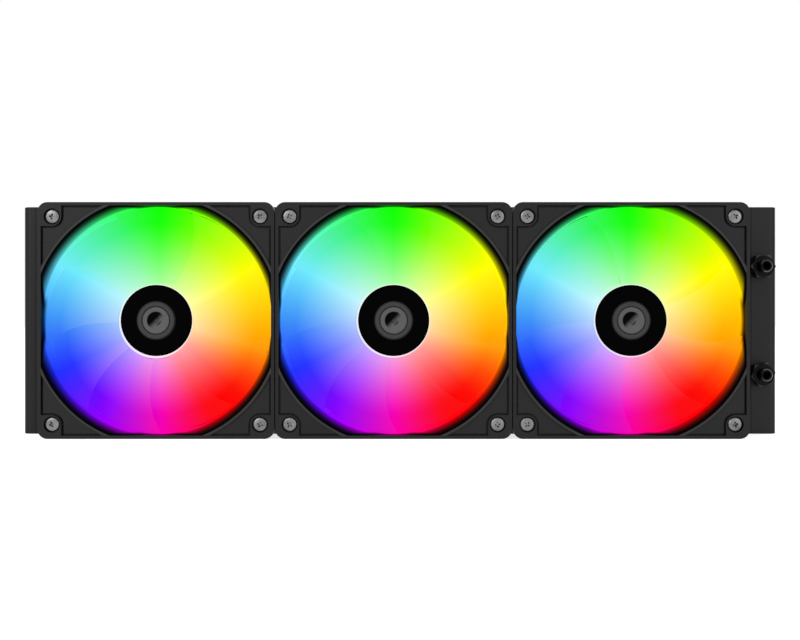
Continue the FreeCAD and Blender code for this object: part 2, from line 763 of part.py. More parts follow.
def make_fan_screws(label):
    """Four long pan head screws, each with a cross recess, at the corners of the frame."""
    body = new_body(label)
    seat = sized("( fan_depth - head_well )")
    head_top = f"( {seat} + Sizes.head_height )"
    crown_start = f"( {head_top} - Sizes.head_crown )"
    shank = new_sketch(body, "shank_outline", "( 0 - Sizes.screw_reach )")
    add_circle(shank, "Sizes.screw_radius", screw_offset, screw_offset)
    shank_length = f"( {seat} + Sizes.screw_reach + Sizes.head_height / 2 )"
    shank_pad = add_pad(body, shank, "shank", shank_length)
    head = new_sketch(body, "head_outline", seat)
    add_circle(head, "Sizes.head_radius", screw_offset, screw_offset)
    head_pad = add_pad(body, head, "head", f"( {crown_start} - {seat} )")
    crown = new_sketch(body, "crown_outline", crown_start)
    add_circle(crown, "Sizes.head_radius", screw_offset, screw_offset)
    crown_pad = add_pad(body, crown, "crown", "Sizes.head_crown")
    crown_pad.setExpression("TaperAngle", "0 - Sizes.crown_slope")
    cross = new_sketch(body, "cross_outline", head_top)
    arm = sized("( cross_length / 2 )")
    half = sized("( cross_width / 2 )")
    reach = f"( {screw_offset} + {arm} )"
    retreat = f"( {screw_offset} - {arm} )"
    high = f"( {screw_offset} + {half} )"
    low = f"( {screw_offset} - {half} )"
    add_outline(cross, [
        (low, retreat), (high, retreat), (high, low), (reach, low),
        (reach, high), (high, high), (high, reach), (low, reach),
        (low, high), (retreat, high), (retreat, low), (low, low),
    ])
    cross_cut = add_pocket(body, cross, "cross_recess", "Sizes.cross_depth")
    add_ring_of(body, "screws", [shank_pad, head_pad, crown_pad, cross_cut], shank, "4")
    return body


def copy_of(piece, label):
    """Second or third copy of a fan's piece, tied to the first."""
    if piece.TypeId == "PartDesign::Body":
        body = new_body(label)
        base = doc.addObject("PartDesign::FeatureBase", f"{label}_shape")
        base.BaseFeature = piece
        body.Group = [base]
        body.Tip = base
        return body
    feature = doc.addObject("Part::Feature", label)
    feature.Label = label
    feature.Shape = piece.Shape.copy()
    return feature


def make_end_tank(label, inner_face, width, outward):
    """Sheet tank, open towards the core, with rounded outer edges."""
    body = new_body(label)
    start = new_sketch(body, "tank_outline", f"( 0 - {half_fan} )", role="XZ_Plane")
    outer = f"( {inner_face} + {outward} * {width} )"
    near_outer = f"( {outer} - {outward} * Sizes.tank_edge_radius )"
    deep = sized("radiator_depth")
    add_outline(start, [
        (inner_face, "0"),
        (near_outer, "0", "Sizes.tank_edge_radius", -outward),
        (outer, "Sizes.tank_edge_radius"),
        (outer, f"( {deep} - Sizes.tank_edge_radius )", "Sizes.tank_edge_radius", -outward),
        (near_outer, deep),
        (inner_face, deep),
    ])
    add_pad(body, start, "tank_block", radiator_height)
    hollow = new_sketch(body, "tank_hollow_outline", inner_face, role="YZ_Plane")
    inside = f"( {half_fan} - Sizes.tank_wall )"
    add_rectangle(hollow, f"-{inside}", "Sizes.tank_wall", inside, f"( {deep} - Sizes.tank_wall )")
    cut = add_pocket(body, hollow, "tank_hollow", f"( {width} - Sizes.tank_wall )")
    cut.Reversed = outward > 0
    return body


def make_right_end_tank(label):
    """Tank with two threaded ports, each with a thick boss behind its face."""
    body = make_end_tank(label, right_header, "Sizes.right_tank_width", 1)
    boss_back = sized("( radiator_depth - tank_wall - port_boss_depth )")
    boss = new_sketch(body, "port_boss_outline", boss_back)
    hole = new_sketch(body, "port_hole_outline", "Sizes.radiator_depth")
    for side in (port_y, f"-{port_y}"):
        add_circle(boss, "Sizes.port_boss_radius", port_x, side)
        add_circle(hole, sized("( thread_radius + thread_room )"), port_x, side)
    add_pad(body, boss, "port_bosses", "Sizes.port_boss_depth")
    add_pocket(body, hole, "port_holes", sized("( tank_wall + port_boss_depth )"))
    return body


def make_header_plate(label, inner_face, outward):
    """Plate in the tank's mouth with a slot for each flat tube."""
    body = new_body(label)
    face = f"( {inner_face} + {outward} * Sizes.header_inset )"
    plate = new_sketch(body, "header_outline", face, role="YZ_Plane")
    high = f"( {half_fan} - Sizes.tank_wall - Sizes.core_gap )"
    back = sized("( tank_wall + core_gap )")
    front = sized("( radiator_depth - tank_wall - core_gap )")
    add_rectangle(plate, f"-{high}", back, high, front)
    pad = add_pad(body, plate, "header", "Sizes.header_thickness")
    pad.Reversed = outward < 0
    slot = new_sketch(body, "tube_slot_outline", face, role="YZ_Plane")
    add_slot(slot, lowest_tube, mid_depth, f"( {core_depth} / 2 + Sizes.core_gap )",
             sized("( flat_tube_thickness / 2 + core_gap )"))
    cut = add_pocket(body, slot, "tube_slot", "Sizes.header_thickness")
    cut.Reversed = outward > 0
    add_row_of(body, "tube_slots", [cut], slot, "H_Axis", "Sizes.flat_tube_count", flat_tube_pitch)
    return body


def make_side_rail(label, side):
    """Lipped channel along one long edge, with a tapped hole for each screw in both its faces."""
    body = new_body(label)
    outer = f"( {side} * {half_fan} )"
    web = f"( {side} * ( {half_fan} - Sizes.rail_sheet ) )"
    lip_inside = f"( {side} * ( {half_fan} - Sizes.rail_width + Sizes.rail_sheet ) )"
    lip = f"( {side} * ( {half_fan} - Sizes.rail_width ) )"
    deep = "Sizes.radiator_depth"
    sheet_in = f"( {deep} - Sizes.rail_sheet )"
    lip_end = "Sizes.rail_lip"
    far_lip_end = f"( {deep} - Sizes.rail_lip )"
    section = new_sketch(body, "rail_section", left_header, role="YZ_Plane")
    add_outline(section, [
        (outer, "0"), (outer, deep), (lip, deep), (lip, far_lip_end),
        (lip_inside, far_lip_end), (lip_inside, sheet_in), (web, sheet_in),
        (web, "Sizes.rail_sheet"), (lip_inside, "Sizes.rail_sheet"), (lip_inside, lip_end),
        (lip, lip_end), (lip, "0"),
    ])
    add_pad(body, section, "rail", core_span)
    holes = new_sketch(body, "tapped_hole_outline", deep)
    for place in (f"( {first_fan} - {screw_offset} )", f"( {first_fan} + {screw_offset} )"):
        add_circle(holes, sized("( screw_radius + thread_room )"), place, f"( {side} * {screw_offset} )")
    cut = add_pocket(body, holes, "tapped_hole", deep)
    add_row_of(body, "tapped_holes", [cut], holes, "H_Axis", "Sizes.fan_count", "Sizes.fan_size")
    return body


def make_flat_tubes(label):
    body = new_body(label)
    reach = sized("( header_inset + header_thickness + flat_tube_reach )")
    section = new_sketch(body, "flat_tube_section", f"( {left_header} - {reach} )", role="YZ_Plane")
    half_depth = f"( {core_depth} / 2 )"
    half_thick = sized("( flat_tube_thickness / 2 )")
    add_slot(section, lowest_tube, mid_depth, half_depth, half_thick)
    add_slot(section, lowest_tube, mid_depth, f"( {half_depth} - Sizes.flat_tube_wall )",
             f"( {half_thick} - Sizes.flat_tube_wall )")
    tube = add_pad(body, section, "flat_tube", f"( {core_span} + 2 * {reach} )")
    add_row_of(body, "tube_row", [tube], section, "H_Axis", "Sizes.flat_tube_count", flat_tube_pitch)
    return body


def make_fin_packs(label):
    """Corrugated sheet between each two tubes, and between the outer tubes and the rails."""
    start = value(left_header)
    end = value(right_header)
    folds = int(round((end - start) / value("Sizes.fin_pitch")))
    gap = value("Sizes.core_gap")
    sheet = value("Sizes.fin_sheet")
    height = value(fin_height)
    pitch = value(flat_tube_pitch)
    depth = value(core_depth)
    back = value(mid_depth) - depth / 2
    packs = []
    for number in range(int(value("Sizes.flat_tube_count")) + 1):
        low = number * pitch - value(core_edge) + gap
        high = low + height - 2 * gap
        crest = []
        for fold in range(folds + 1):
            along = start + gap + (end - start - 2 * gap) * fold / folds
            crest.append(FreeCAD.Vector(along, high if fold % 2 else low + sheet, back))
        root = [FreeCAD.Vector(point.x, point.y - sheet, back) for point in reversed(crest)]
        band = Part.Face(Part.makePolygon(crest + root + [crest[0]]))
        packs.append(band.extrude(FreeCAD.Vector(0, 0, depth)))
    feature = doc.addObject("Part::Feature", label)
    feature.Label = label
    feature.Shape = Part.makeCompound(packs)
    return feature


def make_tank_divider(label):
    """Wall that parts the two halves of the right tank, in line with a fin pack."""
    divider = doc.addObject("Part::Box", label)
    divider.Label = label
    near = sized("( header_inset + header_thickness + core_gap )")
    far = sized("( tank_wall + core_gap )")
    divider.setExpression("Length", f"Sizes.right_tank_width - {near} - {far}")
    divider.setExpression("Width", "Sizes.divider_thickness")
    divider.setExpression("Height", f"Sizes.radiator_depth - 2 * {far}")
    tubes_below = "floor( Sizes.flat_tube_count / 2 )"
    middle = f"( {tubes_below} * {flat_tube_pitch} - {core_edge} + {fin_height} / 2 )"
    divider.Placement = FreeCAD.Placement(FreeCAD.Vector(0, 0, 0), STAND_UP)
    divider.setExpression("Placement.Base.x", f"{right_header} + {near}")
    divider.setExpression("Placement.Base.y", f"{total_depth} / 2 - {far}")
    bottom = f"{middle} - Sizes.divider_thickness / 2"
    divider.setExpression("Placement.Base.z", f"{radiator_height} / 2 + {bottom}")
    return divider


def make_hose_fitting(label, side, turn):
    """Screwed-in fitting: thread, hexagon, collar and a short barbed nozzle, bored through."""
    body = new_body(label)
    face = "Sizes.radiator_depth"
    spigot_end = f"( {face} - Sizes.thread_length )"
    collar_top = f"( {hexagon_top} + Sizes.collar_height )"
    nozzle_top = f"( {collar_top} + Sizes.nozzle_length )"
    barb_top = f"( {nozzle_top} - Sizes.barb_rise )"
    barb_foot = f"( {barb_top} - Sizes.barb_length )"
    barb_radius = sized("( nozzle_radius + barb_rise )")
    add_turned(body, "turned_part", [
        ("Sizes.fitting_bore", spigot_end),
        ("Sizes.thread_radius", spigot_end),
        ("Sizes.thread_radius", hexagon_top),
        ("Sizes.collar_radius", hexagon_top),
        ("Sizes.collar_radius", collar_top),
        ("Sizes.nozzle_radius", collar_top),
        ("Sizes.nozzle_radius", barb_foot),
        (barb_radius, barb_foot),
        (barb_radius, barb_top),
        ("Sizes.nozzle_radius", nozzle_top),
        ("Sizes.fitting_bore", nozzle_top),
    ])
    nut = new_sketch(body, "hexagon_outline", face)
    corner = "( Sizes.hexagon / sqrt( 3 ) )"
    corners = []
    for number in range(6):
        angle = f"( ( {number} * 60 + {turn} ) * 1 deg )"
        corners.append((f"( {corner} * cos( {angle} ) )", f"( {corner} * sin( {angle} ) )"))
    add_outline(nut, corners)
    add_pad(body, nut, "hexagon", "Sizes.hexagon_height")
    bevel = "Sizes.hexagon_bevel"
    flat = sized("( hexagon / 2 )")
    add_turned(body, "hexagon_bevel", [
        (flat, hexagon_top),
        (f"( {flat} + 3 * {bevel} )", f"( {hexagon_top} - {bevel} )"),
        (f"( {flat} + 3 * {bevel} )", hexagon_top),
    ], "Groove")
    groove_width = sized("( thread_radius + 2 * seal_section + 2 * seal_squeeze )")
    add_turned(body, "seal_groove", [
        ("Sizes.thread_radius", face),
        (groove_width, face),
        (groove_width, sized("( radiator_depth + 2 * seal_section + seal_squeeze )")),
        ("Sizes.thread_radius", sized("( radiator_depth + 2 * seal_section + seal_squeeze )")),
    ], "Groove")
    bore = new_sketch(body, "bore_outline", nozzle_top)
    add_circle(bore, "Sizes.fitting_bore")
    add_pocket(body, bore, "bore", f"( {nozzle_top} - {spigot_end} )")
    stand(body, port_x, "0")
    body.setExpression("Placement.Base.z", f"{radiator_height} / 2 + {side} * {port_y}")
    return body


def make_fitting_seal(label, side):
    """Ring seal in the groove under the hexagon."""
    seal = doc.addObject("Part::Torus", label)
    seal.Label = label
    seal.setExpression("Radius1", sized("thread_radius + seal_section + seal_squeeze"))
    seal.setExpression("Radius2", "Sizes.seal_section")
    stand(seal, port_x, sized("( radiator_depth + seal_section )"))
    seal.setExpression("Placement.Base.z", f"{radiator_height} / 2 + {side} * {port_y}")
    return seal


fan_piece_makers = {
    "fan_frame": make_fan_frame,
    "hub_cap": make_hub_cap,
    "rotor_yoke": make_rotor_yoke,
    "magnet_ring": make_magnet_ring,
    "shaft": make_shaft,
    "retaining_clip": make_retaining_clip,
    "bearing_sleeve": make_bearing_sleeve,
    "stator_core": make_stator_core,
    "stator_windings": make_stator_windings,
    "circuit_board": make_circuit_board,
    "lamp_group": make_lamp_group,
    "fan_screws": make_fan_screws,
}
fan_places = ["left", "middle", "right"]
pieces = []

first_set = {}
for kind, maker in fan_piece_makers.items():
    first_set[kind] = maker(f"{fan_places[0]}_{kind}")
impeller = doc.addObject("Part::Feature", f"{fan_places[0]}_impeller")
impeller.Label = f"{fan_places[0]}_impeller"
impeller.Shape = make_impeller_shape()
first_set["impeller"] = impeller
doc.recompute()
for number, place in enumerate(fan_places):
    for kind, first in first_set.items():
        piece = first if number == 0 else copy_of(first, f"{place}_{kind}")
        stand(piece, f"{first_fan} + {number} * Sizes.fan_size", "Sizes.radiator_depth")
        pieces.append(piece)

radiator_pieces = [
    make_end_tank("left_end_tank", left_header, "Sizes.left_tank_width", -1),
    make_right_end_tank("right_end_tank"),
    make_header_plate("left_header_plate", left_header, -1),
    make_header_plate("right_header_plate", right_header, 1),
    make_side_rail("top_side_rail", 1),
    make_side_rail("bottom_side_rail", -1),
    make_flat_tubes("flat_tubes"),
    make_fin_packs("fin_packs"),
]
for piece in radiator_pieces:
    stand(piece, "0", "0")
pieces += radiator_pieces
pieces.append(make_tank_divider("tank_divider"))
for place, side, turn in (("upper", 1, "0"), ("lower", -1, "Sizes.lower_hexagon_turn")):
    pieces.append(make_hose_fitting(f"{place}_hose_fitting", side, turn))
    pieces.append(make_fitting_seal(f"{place}_fitting_seal", side))

doc.recompute()

for feature in doc.Objects:
    states = " ".join(feature.State)
    if "Invalid" in states or "Error" in states:
        raise RuntimeError(f"{feature.Name} failed: {states}")
for piece in pieces:
    if piece.Shape.isNull() or not piece.Shape.isValid() or piece.Shape.Volume <= 0:
        raise RuntimeError(f"{piece.Label} has no valid shape")

os.makedirs("parts", exist_ok=True)
for piece in pieces:
    piece.Shape.exportStep(f"parts/{piece.Label}.step")
    print(piece.Label, len(piece.Shape.Solids), round(piece.Shape.Volume, 1))
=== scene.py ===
import bmesh
import bpy
import math
from mathutils import Matrix, Vector


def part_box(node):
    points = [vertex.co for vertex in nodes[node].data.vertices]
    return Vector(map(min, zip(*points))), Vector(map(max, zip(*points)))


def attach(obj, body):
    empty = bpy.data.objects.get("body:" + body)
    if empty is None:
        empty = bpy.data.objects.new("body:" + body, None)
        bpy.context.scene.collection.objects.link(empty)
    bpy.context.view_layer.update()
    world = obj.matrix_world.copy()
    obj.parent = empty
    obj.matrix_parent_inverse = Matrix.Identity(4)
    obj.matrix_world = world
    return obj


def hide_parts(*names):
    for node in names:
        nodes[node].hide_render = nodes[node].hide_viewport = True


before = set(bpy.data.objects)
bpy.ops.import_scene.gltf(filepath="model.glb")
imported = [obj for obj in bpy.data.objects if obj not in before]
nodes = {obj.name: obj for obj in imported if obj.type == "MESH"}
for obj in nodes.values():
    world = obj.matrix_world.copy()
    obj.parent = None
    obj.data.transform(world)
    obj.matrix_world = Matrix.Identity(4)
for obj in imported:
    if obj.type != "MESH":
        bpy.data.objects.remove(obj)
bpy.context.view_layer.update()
mm = 0.001
white = (1, 1, 1)
black = (0, 0, 0)
places = ("left", "middle", "right")
fanMiddle = {}
for place in places:
    low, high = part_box(f"{place}_fan_frame")
    fanMiddle[place] = (low + high) / 2
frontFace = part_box("middle_fan_frame")[0].y
print("frame loaded,", len(nodes), "nodes")


def addObject(name, data):
    item = bpy.data.objects.new(name, data)
    bpy.context.scene.collection.objects.link(item)
    return item


# Camera and lamps, in metres and watts
view = {"distance": 0.536, "height": 0.06025, "lens": 45.5, "sensor": 36, "nearest": 0.01}
softboxes = {
    "keyLight": {"place": (-1.05, -1.35, 0.95), "target": (-0.05, 0, 0.06), "size": (0.9, 0.9),
                 "power": 13},
    "fillLight": {"place": (1.3, -1.2, 0.6), "target": (0.05, 0, 0.06), "size": (1.0, 0.8), "power": 4},
    "backLight": {"place": (0.4, 1.6, 1.0), "target": (0, 0, 0.06), "size": (1.2, 0.8), "power": 9},
}


def setCamera():
    camera = addObject("camera", bpy.data.cameras.new("camera"))
    camera.location = (0.0, -view["distance"], view["height"])
    camera.rotation_euler = (math.radians(90), 0, 0)
    camera.data.sensor_width = view["sensor"]
    camera.data.lens = view["lens"]
    camera.data.clip_start = view["nearest"]
    bpy.context.scene.camera = camera


def addSoftbox(name, values):
    lamp = bpy.data.lights.new(name, "AREA")
    lamp.shape = "RECTANGLE"
    lamp.size, lamp.size_y = values["size"]
    lamp.energy = values["power"]
    softbox = addObject(name, lamp)
    softbox.location = values["place"]
    aim = Vector(values["target"]) - Vector(values["place"])
    softbox.rotation_euler = aim.to_track_quat("-Z", "Y").to_euler()


setCamera()
for name, values in softboxes.items():
    addSoftbox(name, values)
bpy.context.scene.view_settings.view_transform = "Standard"


def feed(tree, socket, source):
    # takes another socket or a plain value, and a colour of three numbers is opaque
    if isinstance(source, bpy.types.NodeSocket):
        tree.links.new(source, socket)
    elif socket.type == "RGBA" and len(source) == 3:
        socket.default_value = (*source, 1)
    else:
        socket.default_value = source


def addNode(tree, kind, inputs=None, **settings):
    node = tree.nodes.new(kind)
    for name, setting in settings.items():
        setattr(node, name, setting)
    for key, source in (inputs or {}).items():
        feed(tree, node.inputs[key], source)
    return node


def addMath(tree, operation, first, second=0.0, clamp=False):
    node = addNode(tree, "ShaderNodeMath", {0: first, 1: second}, operation=operation, use_clamp=clamp)
    return node.outputs[0]


def product(tree, first, *others):
    for other in others:
        first = addMath(tree, "MULTIPLY", first, other)
    return first


def largest(tree, first, *others):
    for other in others:
        first = addMath(tree, "MAXIMUM", first, other)
    return first


def below(tree, source, limit):
    return addMath(tree, "LESS_THAN", source, limit)


def distanceFrom(tree, source, spot):
    return addMath(tree, "ABSOLUTE", addMath(tree, "SUBTRACT", source, spot))


def addRange(tree, source, span, low=0.0, high=1.0, kind="LINEAR"):
    # runs from low, at the first number of the span, to high, at its second
    inputs = {"Value": source, "From Min": span[0], "From Max": span[1], "To Min": low, "To Max": high}
    return addNode(tree, "ShaderNodeMapRange", inputs, interpolation_type=kind).outputs["Result"]


def inMetres(span):
    return [size * mm for size in span]


def mixColors(tree, factor, first, second, blend="MIX"):
    node = addNode(tree, "ShaderNodeMix", data_type="RGBA", blend_type=blend)
    for key, source in (("Factor_Float", factor), ("A_Color", first), ("B_Color", second)):
        feed(tree, next(socket for socket in node.inputs if socket.identifier == key), source)
    return next(socket for socket in node.outputs if socket.identifier == "Result_Color")


def addVectorMath(tree, operation, first, second=(0, 0, 0), output="Vector"):
    node = addNode(tree, "ShaderNodeVectorMath", {0: first, 1: second}, operation=operation)
    return node.outputs[output]


def scaleVector(tree, vector, factor):
    return addNode(tree, "ShaderNodeVectorMath", {0: vector, "Scale": factor}, operation="SCALE").outputs[0]


def axesOf(tree, vector):
    return addNode(tree, "ShaderNodeSeparateXYZ", {0: vector}).outputs


def addNoise(tree, vector, scale, detail, roughness=0.5):
    inputs = {"Vector": vector, "Scale": scale, "Detail": detail, "Roughness": roughness}
    return addNode(tree, "ShaderNodeTexNoise", inputs).outputs[0]


def centred(tree, noise):
    # a noise runs from 0 to 1
    return addMath(tree, "SUBTRACT", noise, 0.5)


def addWave(tree, vector, values, profile="SIN"):
    # bands that follow one another along Y, the fans' axis
    inputs = {"Vector": vector, "Scale": values["scale"], "Distortion": values["distortion"],
              "Detail": values["detail"]}
    return addNode(tree, "ShaderNodeTexWave", inputs, wave_type="BANDS", bands_direction="Y",
                   wave_profile=profile).outputs["Fac"]


def addBump(tree, height, strength, distance, under=None):
    # distance in mm, and under is the normal that it is laid over
    inputs = {"Height": height, "Strength": strength, "Distance": distance * mm}
    if under is not None:
        inputs["Normal"] = under
    return addNode(tree, "ShaderNodeBump", inputs).outputs[0]


def seenRays(tree):
    # camera, mirror and glass rays see the backdrop as it is, the others get the studio's light
    rays = addNode(tree, "ShaderNodeLightPath").outputs
    return largest(tree, rays["Is Camera Ray"], rays["Is Glossy Ray"], rays["Is Transmission Ray"])


def startMaterial(name, specular=0.5, metallic=0.0):
    material = bpy.data.materials.new(name)
    material.use_nodes = True
    tree = material.node_tree
    shader = tree.nodes["Principled BSDF"].inputs
    shader["Specular IOR Level"].default_value = specular
    shader["Metallic"].default_value = metallic
    return material, tree, shader


studio = {"backdrop": 1.0, "ambient": 0.55, "floorColor": (0.82, 0.82, 0.82), "floorLift": 0.75,
          "floorRoughness": 0.9, "floorSpecular": 0.1, "floorSize": 8}


def makeWorld():
    world = bpy.data.worlds.new("studio")
    world.use_nodes = True
    tree = world.node_tree
    sky = tree.nodes["Background"].inputs
    strength = addRange(tree, seenRays(tree), (0, 1), studio["ambient"], studio["backdrop"])
    feed(tree, sky["Color"], white)
    feed(tree, sky["Strength"], strength)
    bpy.context.scene.world = world


def makeFloor():
    material, tree, shader = startMaterial("paleFloor", studio["floorSpecular"])
    feed(tree, shader["Base Color"], studio["floorColor"])
    feed(tree, shader["Roughness"], studio["floorRoughness"])
    feed(tree, shader["Emission Color"], white)
    feed(tree, shader["Emission Strength"], product(tree, seenRays(tree), studio["floorLift"]))
    sheet = bmesh.new()
    bmesh.ops.create_grid(sheet, x_segments=1, y_segments=1, size=studio["floorSize"])
    data = bpy.data.meshes.new("floor")
    sheet.to_mesh(data)
    sheet.free()
    data.materials.append(material)
    return addObject("floor", data)


makeWorld()
floor = makeFloor()
print("studio ready")


def startGroup(name, inputs, outputs):
    group = bpy.data.node_groups.new(name, "ShaderNodeTree")
    for label, kind, start in inputs:
        socket = group.interface.new_socket(label, in_out="INPUT", socket_type=f"NodeSocket{kind}")
        if start is not None:
            socket.default_value = start
    for label, kind in outputs:
        group.interface.new_socket(label, in_out="OUTPUT", socket_type=f"NodeSocket{kind}")
    return group, group.nodes.new("NodeGroupInput").outputs, group.nodes.new("NodeGroupOutput").inputs


# colours of the lamps' light round the fan, from the right anticlockwise, as seen on a screen
rainbow = {
    0.000: (1.00, 0.73, 0.00),
    0.083: (1.00, 1.00, 0.00),
    0.167: (0.58, 1.00, 0.00),
    0.250: (0.09, 1.00, 0.03),
    0.333: (0.27, 0.95, 0.52),
    0.417: (0.44, 0.92, 0.99),
    0.500: (0.24, 0.56, 0.97),
    0.575: (0.15, 0.20, 1.00),
    0.667: (0.56, 0.02, 0.98),
    0.750: (0.96, 0.00, 0.69),
    0.833: (0.99, 0.00, 0.08),
    0.880: (0.99, 0.08, 0.02),
    0.917: (1.00, 0.30, 0.00),
    0.958: (1.00, 0.60, 0.02),
}
glow = {  # radii in mm
    "palerFrom": 50.0,
    "pale": 0.0195,  # share of white for each mm further in
    "edge": (62.6, 56.8),  # from dark to full light
    "gamma": 2.2,
}


def makeLampLight():
    # colour by the angle about the fan's axis, paler towards the hub and gone past the blades' tips
    group, start, end = startGroup("lampLight", [("Position", "Vector", None)],
                                   [("Color", "Color"), ("Radius", "Float")])
    axes = axesOf(group, start["Position"])
    flat = addNode(group, "ShaderNodeCombineXYZ", {0: axes["X"], 1: axes["Z"]}).outputs[0]
    radius = product(group, addVectorMath(group, "LENGTH", flat, output="Value"), 1 / mm)
    turn = addMath(group, "DIVIDE", addMath(group, "ARCTAN2", axes["Z"], axes["X"]), 2 * math.pi)
    share = addMath(group, "FRACT", addMath(group, "ADD", turn, 1.0))
    ramp = addNode(group, "ShaderNodeValToRGB", {0: share})
    stops = ramp.color_ramp.elements
    stops[0].color = stops[1].color = (*rainbow[0.0], 1)  # the ramp's own two ends, where the ring closes
    for spot in sorted(rainbow)[1:]:
        stops.new(spot).color = (*rainbow[spot], 1)
    nearHub = addMath(group, "SUBTRACT", glow["palerFrom"], radius)
    pale = addMath(group, "MULTIPLY", nearHub, glow["pale"], clamp=True)
    screenColor = mixColors(group, pale, ramp.outputs["Color"], white)
    fade = addRange(group, radius, glow["edge"], kind="SMOOTHSTEP")
    faded = mixColors(group, fade, black, screenColor)
    linear = addNode(group, "ShaderNodeGamma", {"Color": faded, "Gamma": glow["gamma"]}).outputs[0]
    feed(group, end["Color"], linear)
    feed(group, end["Radius"], radius)
    return group


surfaceOutputs = [("Color", "Color"), ("Roughness", "Float"), ("Normal", "Vector")]
grainPattern = {"detail": 3.0, "roughness": 0.55, "height": 0.06, "broadScale": 34.0, "broadDetail": 4.0,
                "broadRoughness": 0.6, "fineShare": 0.6, "shine": 2.0, "tone": 4.0}  # height in mm


def makeMouldGrain():
    # fine spark-eroded grain of a mould or a powder coat, with broad changes of shine and tone
    inputs = [("Position", "Vector", None), ("Base Color", "Color", (0.02, 0.02, 0.02, 1)),
              ("Roughness", "Float", 0.5), ("Spread", "Float", 0.1), ("Grain Scale", "Float", 2600.0),
              ("Relief", "Float", 0.25), ("Tone", "Float", 0.12)]
    group, start, end = startGroup("mouldGrain", inputs, surfaceOutputs)
    grain = addNoise(group, start["Position"], start["Grain Scale"], grainPattern["detail"],
                     grainPattern["roughness"])
    broad = addNoise(group, start["Position"], grainPattern["broadScale"], grainPattern["broadDetail"],
                     grainPattern["broadRoughness"])
    uneven = centred(group, broad)
    fine = product(group, centred(group, grain), grainPattern["fineShare"])
    shine = product(group, addMath(group, "ADD", uneven, fine), start["Spread"], grainPattern["shine"])
    tone = addMath(group, "ADD", product(group, uneven, grainPattern["tone"], start["Tone"]), 1.0)
    feed(group, end["Color"], scaleVector(group, start["Base Color"], tone))
    feed(group, end["Roughness"], addMath(group, "ADD", start["Roughness"], shine, clamp=True))
    feed(group, end["Normal"], addBump(group, grain, start["Relief"], grainPattern["height"]))
    return group


cutPattern = {"scale": 900.0, "detail": 4.0, "height": 0.04, "shine": 0.5, "cloudScale": 120.0,
              "cloudDetail": 5.0, "cloud": (0.42, 0.75)}  # height in mm


def makeMachinedMetal():
    # fine cutting marks along one way, and a faint uneven tarnish
    inputs = [("Position", "Vector", None), ("Base Color", "Color", (0.5, 0.5, 0.5, 1)),
              ("Tarnish Color", "Color", (0.3, 0.3, 0.3, 1)), ("Roughness", "Float", 0.3),
              ("Marks", "Float", 0.2)]
    group, start, end = startGroup("machinedMetal", inputs, surfaceOutputs)
    marks = addNoise(group, start["Position"], cutPattern["scale"], cutPattern["detail"])
    cloud = addNoise(group, start["Position"], cutPattern["cloudScale"], cutPattern["cloudDetail"])
    tarnished = addRange(group, cloud, cutPattern["cloud"])
    shine = product(group, centred(group, marks), cutPattern["shine"])
    feed(group, end["Color"], mixColors(group, tarnished, start["Base Color"], start["Tarnish Color"]))
    feed(group, end["Roughness"], addMath(group, "ADD", start["Roughness"], shine, clamp=True))
    feed(group, end["Normal"], addBump(group, marks, start["Marks"], cutPattern["height"]))
    return group


lampLight = makeLampLight()
mouldGrain = makeMouldGrain()
machinedMetal = makeMachinedMetal()
print("node groups ready")


def objectPosition(tree):
    return addNode(tree, "ShaderNodeTexCoord").outputs["Object"]


def centredOn(tree, position, place):
    middle = fanMiddle[place]
    inputs = {"Vector": position, "Location": (-middle.x, 0, -middle.z)}
    return addNode(tree, "ShaderNodeMapping", inputs).outputs[0]


def placeGroup(tree, group, inputs):
    return addNode(tree, "ShaderNodeGroup", inputs, node_tree=group).outputs


def coverWith(tree, shader, group, inputs):
    surface = placeGroup(tree, group, inputs)
    for label, name in (("Color", "Base Color"), ("Roughness", "Roughness"), ("Normal", "Normal")):
        feed(tree, shader[name], surface[label])
    return surface


def coverWithGrain(tree, shader, position, color, values):
    # what a material leaves out keeps the group's own value
    labels = {"spread": "Spread", "grain": "Grain Scale", "relief": "Relief", "tone": "Tone"}
    inputs = {"Position": position, "Base Color": color, "Roughness": values["roughness"]}
    inputs.update({label: values[key] for key, label in labels.items() if key in values})
    return coverWith(tree, shader, mouldGrain, inputs)


def coverWithMetal(tree, shader, position, color, tarnish, values):
    inputs = {"Position": position, "Base Color": color, "Tarnish Color": tarnish,
              "Roughness": values["roughness"]}
    if "marks" in values:
        inputs["Marks"] = values["marks"]
    return coverWith(tree, shader, machinedMetal, inputs)


def shineWith(tree, shader, color):
    feed(tree, shader["Emission Color"], color)
    shader["Emission Strength"].default_value = 1.0


